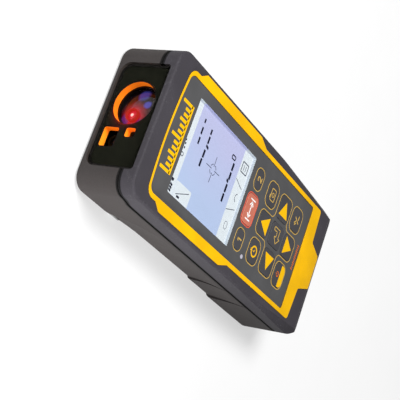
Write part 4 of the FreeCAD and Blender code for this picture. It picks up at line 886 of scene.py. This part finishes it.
def arrowhead(key, angle, reach, half):
    """A filled triangle whose point faces the angle in degrees, set back a little from the cap's middle."""
    x, y = middle_of(key)[:2]
    corners = np.array([(reach * 0.55, 0), (-reach * 0.45, half), (-reach * 0.45, -half)]) - (0.4, 0)
    return [figure(turned(sides(corners, 6), 0, 0, angle) + (x, y), *MARK)]


for key in ("key_up", "key_down", "key_left", "key_right"):
    mark(key, ink_yellow, "bezel_yellow", arrowhead(key, ARROWS[key], 6.6, 3.9))

x, y = middle_of("key_dist")[:2]
measure = lines_on(
    0.62,
    line(x - 3.0, y, x + 3.0, y),
    line(x - 4.2, y - 1.9, x - 4.2, y + 1.9),
    line(x + 4.2, y - 1.9, x + 4.2, y + 1.9),
    line(x - 1.7, y + 1.3, x - 3.3, y),
    line(x - 1.7, y - 1.3, x - 3.3, y),
    line(x + 1.7, y + 1.3, x + 3.3, y),
    line(x + 1.7, y - 1.3, x + 3.3, y),
)
mark("key_dist", ink_pale, None, measure)

x, y = middle_of("key_f1")[:2]
one = lines_on(0.62, line(x + 0.2, y - 1.6, x + 0.2, y + 1.7), line(x + 0.2, y + 1.6, x - 0.8, y + 0.8))
mark("key_f1", ink_gold, "bezel_yellow", one)

x, y = middle_of("key_f2")[:2]
curve = np.concatenate([arc(x, y + 0.7, 0.85, 170, -40, 14), [(x - 0.85, y - 1.45)]])
two = lines_on(0.58, curve, line(x - 1.05, y - 1.45, x + 1.1, y - 1.45))
mark("key_f2", ink_gold, "bezel_yellow", two)

x, y = middle_of("key_timer")[:2]
clock = [loop(disc(x, y, 2.1), 0.75, *MARK)]
clock += lines_on(
    0.42,
    line(x, y - 0.1, x, y + 1.2),
    line(x, y, x + 0.8, y - 0.5),
    line(x - 0.6, y + 2.75, x + 0.6, y + 2.75),
)
mark("key_timer", ink_yellow, "bezel_yellow", clock)

x, y = middle_of("key_camera")[:2]
camera_mark = [
    loop(rounded(x, y - 0.2, 2.5, 1.75, 0.5, 5), 0.45, *MARK),
    loop(disc(x, y - 0.2, 0.85, 20), 0.42, *MARK),
    figure(rounded(x - 1.1, y + 1.95, 0.75, 0.32, 0.15, 3), *MARK),
]
mark("key_camera", ink_gold, "bezel_yellow", camera_mark)

x, y = middle_of("key_enter")[:2]
shaft = [(3.1, -1.9), (3.1, 2.9), (1.7, 2.9), (1.7, 0.1), (-0.6, 0.1)]
head = [(-0.6, 1.5), (-3.2, -0.9), (-0.6, -3.3), (-0.6, -1.9)]
enter = [loop(sides(shaft + head, 5)[::-1] + (x, y), 0.42, *MARK)]
mark("key_enter", ink_gold, "bezel_yellow", enter)

x, y, w, l = cap_of("key_clear")
outline = rounded(x, y, w - 0.35, l - 0.35, 2.4)
half_fill = np.stack([outline[:, 0], np.minimum(outline[:, 1], y - 0.5)], 1)
mark("key_clear", ink_yellow, "bezel_yellow", [figure(half_fill, *MARK)])
power = lines_on(0.42, arc(x, y + 1.5, 1.0, 125, 415, 22), line(x, y + 1.6, x, y + 2.9))
piece("key_clear_power", power, "key_clear", None, ink_orange)

x, y = middle_of("key_plus")[:2]
plus = lines_on(
    0.6,
    line(x - 2.4, y + 0.9, x - 0.4, y + 0.9),
    line(x - 1.4, y - 0.1, x - 1.4, y + 1.9),
    line(x + 0.5, y - 1.2, x + 2.4, y - 1.2),
    line(x - 0.9, y - 1.9, x + 1.0, y + 1.7),
)
mark("key_plus", ink_gold, "bezel_yellow", plus)

# ---------------------------------------------------------------------------------------------
# The display's picture, between the panel and the cover glass
# ---------------------------------------------------------------------------------------------

PALE_Z, DARK_Z = PANEL_TOP + 0.02, PANEL_TOP + 0.05
PICTURE = (PALE_Z, DARK_Z)  # the figures' lowest and highest level
EDGE_GAP = 0.1  # from the picture to the cover glass's edge
left, rear = screen_low[:2] + EDGE_GAP
right, front = screen_high[:2] - EDGE_GAP


def sheet_of(x0, x1, y0, y1, corner=0.2):
    """A pale field of the picture, straight on the panel."""
    shape = rounded((x0 + x1) / 2, (y0 + y1) / 2, (x1 - x0) / 2, (y1 - y0) / 2, corner, 4)
    return figure(shape, PANEL_TOP, PALE_Z)


pale = [
    sheet_of(left, right, screen_high[1] - BAND_FRONT, front),
    sheet_of(left, left + 6.8, front - 16, screen_high[1] - BAND_FRONT - 0.1, 0.8),
    sheet_of(left, right, rear, screen_low[1] + BAND_REAR),
]
piece("picture_bands", pale, "housing", "display_cell", picture_pale)

RIM_SPACE = 0.05  # from the cover glass to the middle of the lit line round it
half_w, half_l = ((screen_high - screen_low) / 2)[:2] + RIM_SPACE
around = rounded(*middle_of("display_window")[:2], half_w, half_l, 0.6, 4)
wall = loop(around, 0.06, PALE_Z + 0.02, screen_high[2] - 0.02)
piece("glass_edge", [wall], "housing", "display_glass", lit_edge)


def drawn(width, *paths):
    """Lines of one width in the picture."""
    return [stroke(path, width, *PICTURE) for path in paths]


def blocks(*places):
    """Small blocks, each with its middle (x, y), half width, half length and lean."""
    return [bar(x, y, w, l, *PICTURE, lean) for x, y, w, l, lean in places]


dark = blocks(
    (6.2, 42.1, 1.46, 0.5, 0.0),
    (10.2, 42.3, 1.46, 0.5, 0.0),
    (14.2, 42.4, 0.86, 0.48, 0.0),
    (0.0, 36.6, 1.62, 0.59, 0.0),
    (3.7, 36.4, 1.62, 0.59, 0.0),
    (6.8, 35.7, 0.54, 0.99, 0.3),
    (9.4, 36.2, 1.51, 0.53, 0.0),
    (12.7, 36.4, 1.08, 0.53, 0.0),
    (-4.1, 15.2, 1.73, 0.64, 0.0),
    (-0.1, 15.2, 1.73, 0.64, 0.0),
    (2.8, 15.8, 0.61, 0.77, 0.3),
    (5.1, 15.2, 1.62, 0.64, 0.0),
    (8.9, 15.3, 1.62, 0.64, 0.0),
    (-17.4, 48.8, 0.43, 0.77, 0.2),
    (-16.3, 48.8, 0.43, 0.77, 0.2),
    (-15.2, 48.8, 0.43, 0.77, 0.2),
    (-13.2, 49.0, 0.59, 0.7, 0.0),
    (-0.3, 49.0, 0.41, 0.33, 0.0),
    (1.3, 49.2, 0.41, 0.33, 0.0),
    (2.7, 49.4, 0.34, 0.28, 0.0),
    (-17.3, 42.6, 0.41, 1.04, 0.0),
)
dark.append(loop(rounded(12.3, 16.7, 0.75, 1.4, 0.6, 5), 0.55, *PICTURE))
dark.append(loop(disc(-3.0, 49.0, 0.75, 16), 0.3, *PICTURE))
piece("picture_figures", dark, "housing", "display_cell", picture_dark)

AIM_X, AIM_Y = 1.6, 27.4  # the crosshair's middle
AIM_IN, AIM_OUT, AIM_R = 1.2, 5.3, 2.1  # where its arms start and end, and its ring's radius
arm = line(AIM_X + AIM_IN, AIM_Y, AIM_X + AIM_OUT, AIM_Y)
aim = []
for quarter in (90, 270, 0, 180):
    aim += drawn(0.27, turned(arm, AIM_X, AIM_Y, quarter))
for quarter in (0, 90, 180, 270):
    aim += drawn(0.27, arc(AIM_X, AIM_Y, AIM_R, quarter + 20, quarter + 70, 8))
aim += drawn(
    0.28,
    line(-6.6, rear + 7.2, -4.4, rear + 1.2),
    line(6.6, rear + 7.2, 4.4, rear + 1.2),
    arc(0.0, rear + 2.2, 1.7, 15, 165, 12),
    line(left + 2.0, front - 6.6, left + 5.6, front - 14.6),
)
aim.append(loop(rounded(-12.0, rear + 3.7, 1.6, 1.05, 1.0, 5), 0.2, *PICTURE))
aim.append(loop(rounded(12.4, rear + 3.8, 2.1, 2.3, 0.3, 4), 0.42, *PICTURE))
aim += drawn(0.3, line(11.2, rear + 3.0, 13.6, rear + 3.0), line(11.2, rear + 4.5, 13.6, rear + 4.5))
piece("picture_lines", aim, "housing", "display_cell", picture_grey)

# ---------------------------------------------------------------------------------------------
# Back and inside
# ---------------------------------------------------------------------------------------------

insert_low, insert_high = edges_of("tripod_insert")
thread = helix(
    *middle_of("tripod_insert")[:2],
    radius=2.56,
    ridge=0.36,
    pitch=1.27,
    low=insert_low[2] + 0.7,
    high=insert_high[2] - 1.2,
)
piece("insert_thread", [thread], "housing", "insert_brass", brass, True)

door_low, door_high = edges_of("battery_door")
door_out = door_low[2]
chevrons = []
for step in (0.0, 3.2, 6.4):
    foot = door_high[1] - 31 - step
    bend = np.array([(-3.2, foot), (0, foot - 2.2), (3.2, foot)])
    chevrons.append(mirrored_down(stroke(bend, 0.9, door_out, door_out + 0.08), door_out))
piece("door_chevrons", chevrons, "battery_door", "door_plastic", door_finish)

label_low, label_high = edges_of("rating_label")
label_out, label_y = label_low[2], middle_of("rating_label")[1]
LABEL_INK = (label_out, label_out + 0.02)
half_w, half_l = label_high[0] - 1.0, (label_high[1] - label_low[1]) / 2 - 1.0
rules = [loop(rounded(0, label_y, half_w, half_l, 1.2, 5), 0.3, *LABEL_INK)]
for rule_y in label_y + 4 - 3 * np.arange(4):
    rules.append(stroke(line(-half_w + 2, rule_y, half_w - 12, rule_y), 0.5, *LABEL_INK))
rules.append(loop(disc(half_w - 5, label_y + 1, 3.2), 0.4, *LABEL_INK))
rules.append(stroke(line(half_w - 6.8, label_y + 1, half_w - 3.2, label_y + 1), 0.4, *LABEL_INK))
piece("label_rules", [mirrored_down(rule, label_out) for rule in rules], "housing", None, ink_grey)

# ---------------------------------------------------------------------------------------------
# Floor, light and camera
# ---------------------------------------------------------------------------------------------

FLOOR = 3.0  # metres from the middle to each side
mesh = bpy.data.meshes.new("floor")
mesh.from_pydata([(-FLOOR, -FLOOR, 0), (FLOOR, -FLOOR, 0), (FLOOR, FLOOR, 0), (-FLOOR, FLOOR, 0)], [], [(0, 1, 2, 3)])
mesh.materials.append(floor_finish("floor_sweep", 0.55))
floor = bpy.data.objects.new("floor", mesh)
bpy.context.scene.collection.objects.link(floor)

world = bpy.data.worlds.new("studio")
world.use_nodes = True
sky = world.node_tree.nodes["Background"].inputs
sky["Color"].default_value, sky["Strength"].default_value = (1.0, 1.0, 1.0, 1.0), 0.22
bpy.context.scene.world = world
bpy.context.scene.view_settings.view_transform = "Standard"


def lamp(name, place, size, power, target=(0.0, 0.0, 0.01), cone=None):
    """A square soft light, aimed at a target, with its place and size in metres. With a cone in degrees it is a spot
    that fades out towards the cone's edge."""
    data = bpy.data.lights.new(name, "SPOT" if cone else "AREA")
    data.energy = power
    if cone:
        data.shadow_soft_size, data.spot_size, data.spot_blend = size / 2, radians(cone), 1.0
    else:
        data.size = size
    made = bpy.data.objects.new(name, data)
    made.location = place
    made.rotation_euler = (Vector(target) - Vector(place)).to_track_quat("-Z", "Y").to_euler()
    bpy.context.scene.collection.objects.link(made)


lamp("key_light", (0.26, 0.5, 0.93), size=0.45, power=14.6)
lamp("side_light", (-0.45, 0.12, 0.1), size=0.08, power=9.5, target=(-0.035, 0.05, 0.012), cone=28.0)

AZIMUTH, ELEVATION, ROLL = radians(201.95), radians(33.04), radians(-97.3)
LOOK_AT, DISTANCE = Vector((-1.6, 3.5, 7.5)) * MM, 491.0 * MM
forward = Vector((-sin(AZIMUTH) * cos(ELEVATION), cos(AZIMUTH) * cos(ELEVATION), -sin(ELEVATION)))
level_up = (Vector((0, 0, 1)) - forward * forward.z).normalized()
up = level_up * cos(ROLL) + forward.cross(level_up) * sin(ROLL)
data = bpy.data.cameras.new("camera")
data.lens, data.sensor_width = 111.2, 36.0
data.clip_start, data.clip_end = 0.01, 20.0
camera = bpy.data.objects.new("camera", data)
facing = Matrix((forward.cross(up), up, -forward)).transposed().to_4x4()
camera.matrix_world = Matrix.Translation(LOOK_AT - forward * DISTANCE) @ facing
bpy.context.scene.collection.objects.link(camera)
bpy.context.scene.camera = camera
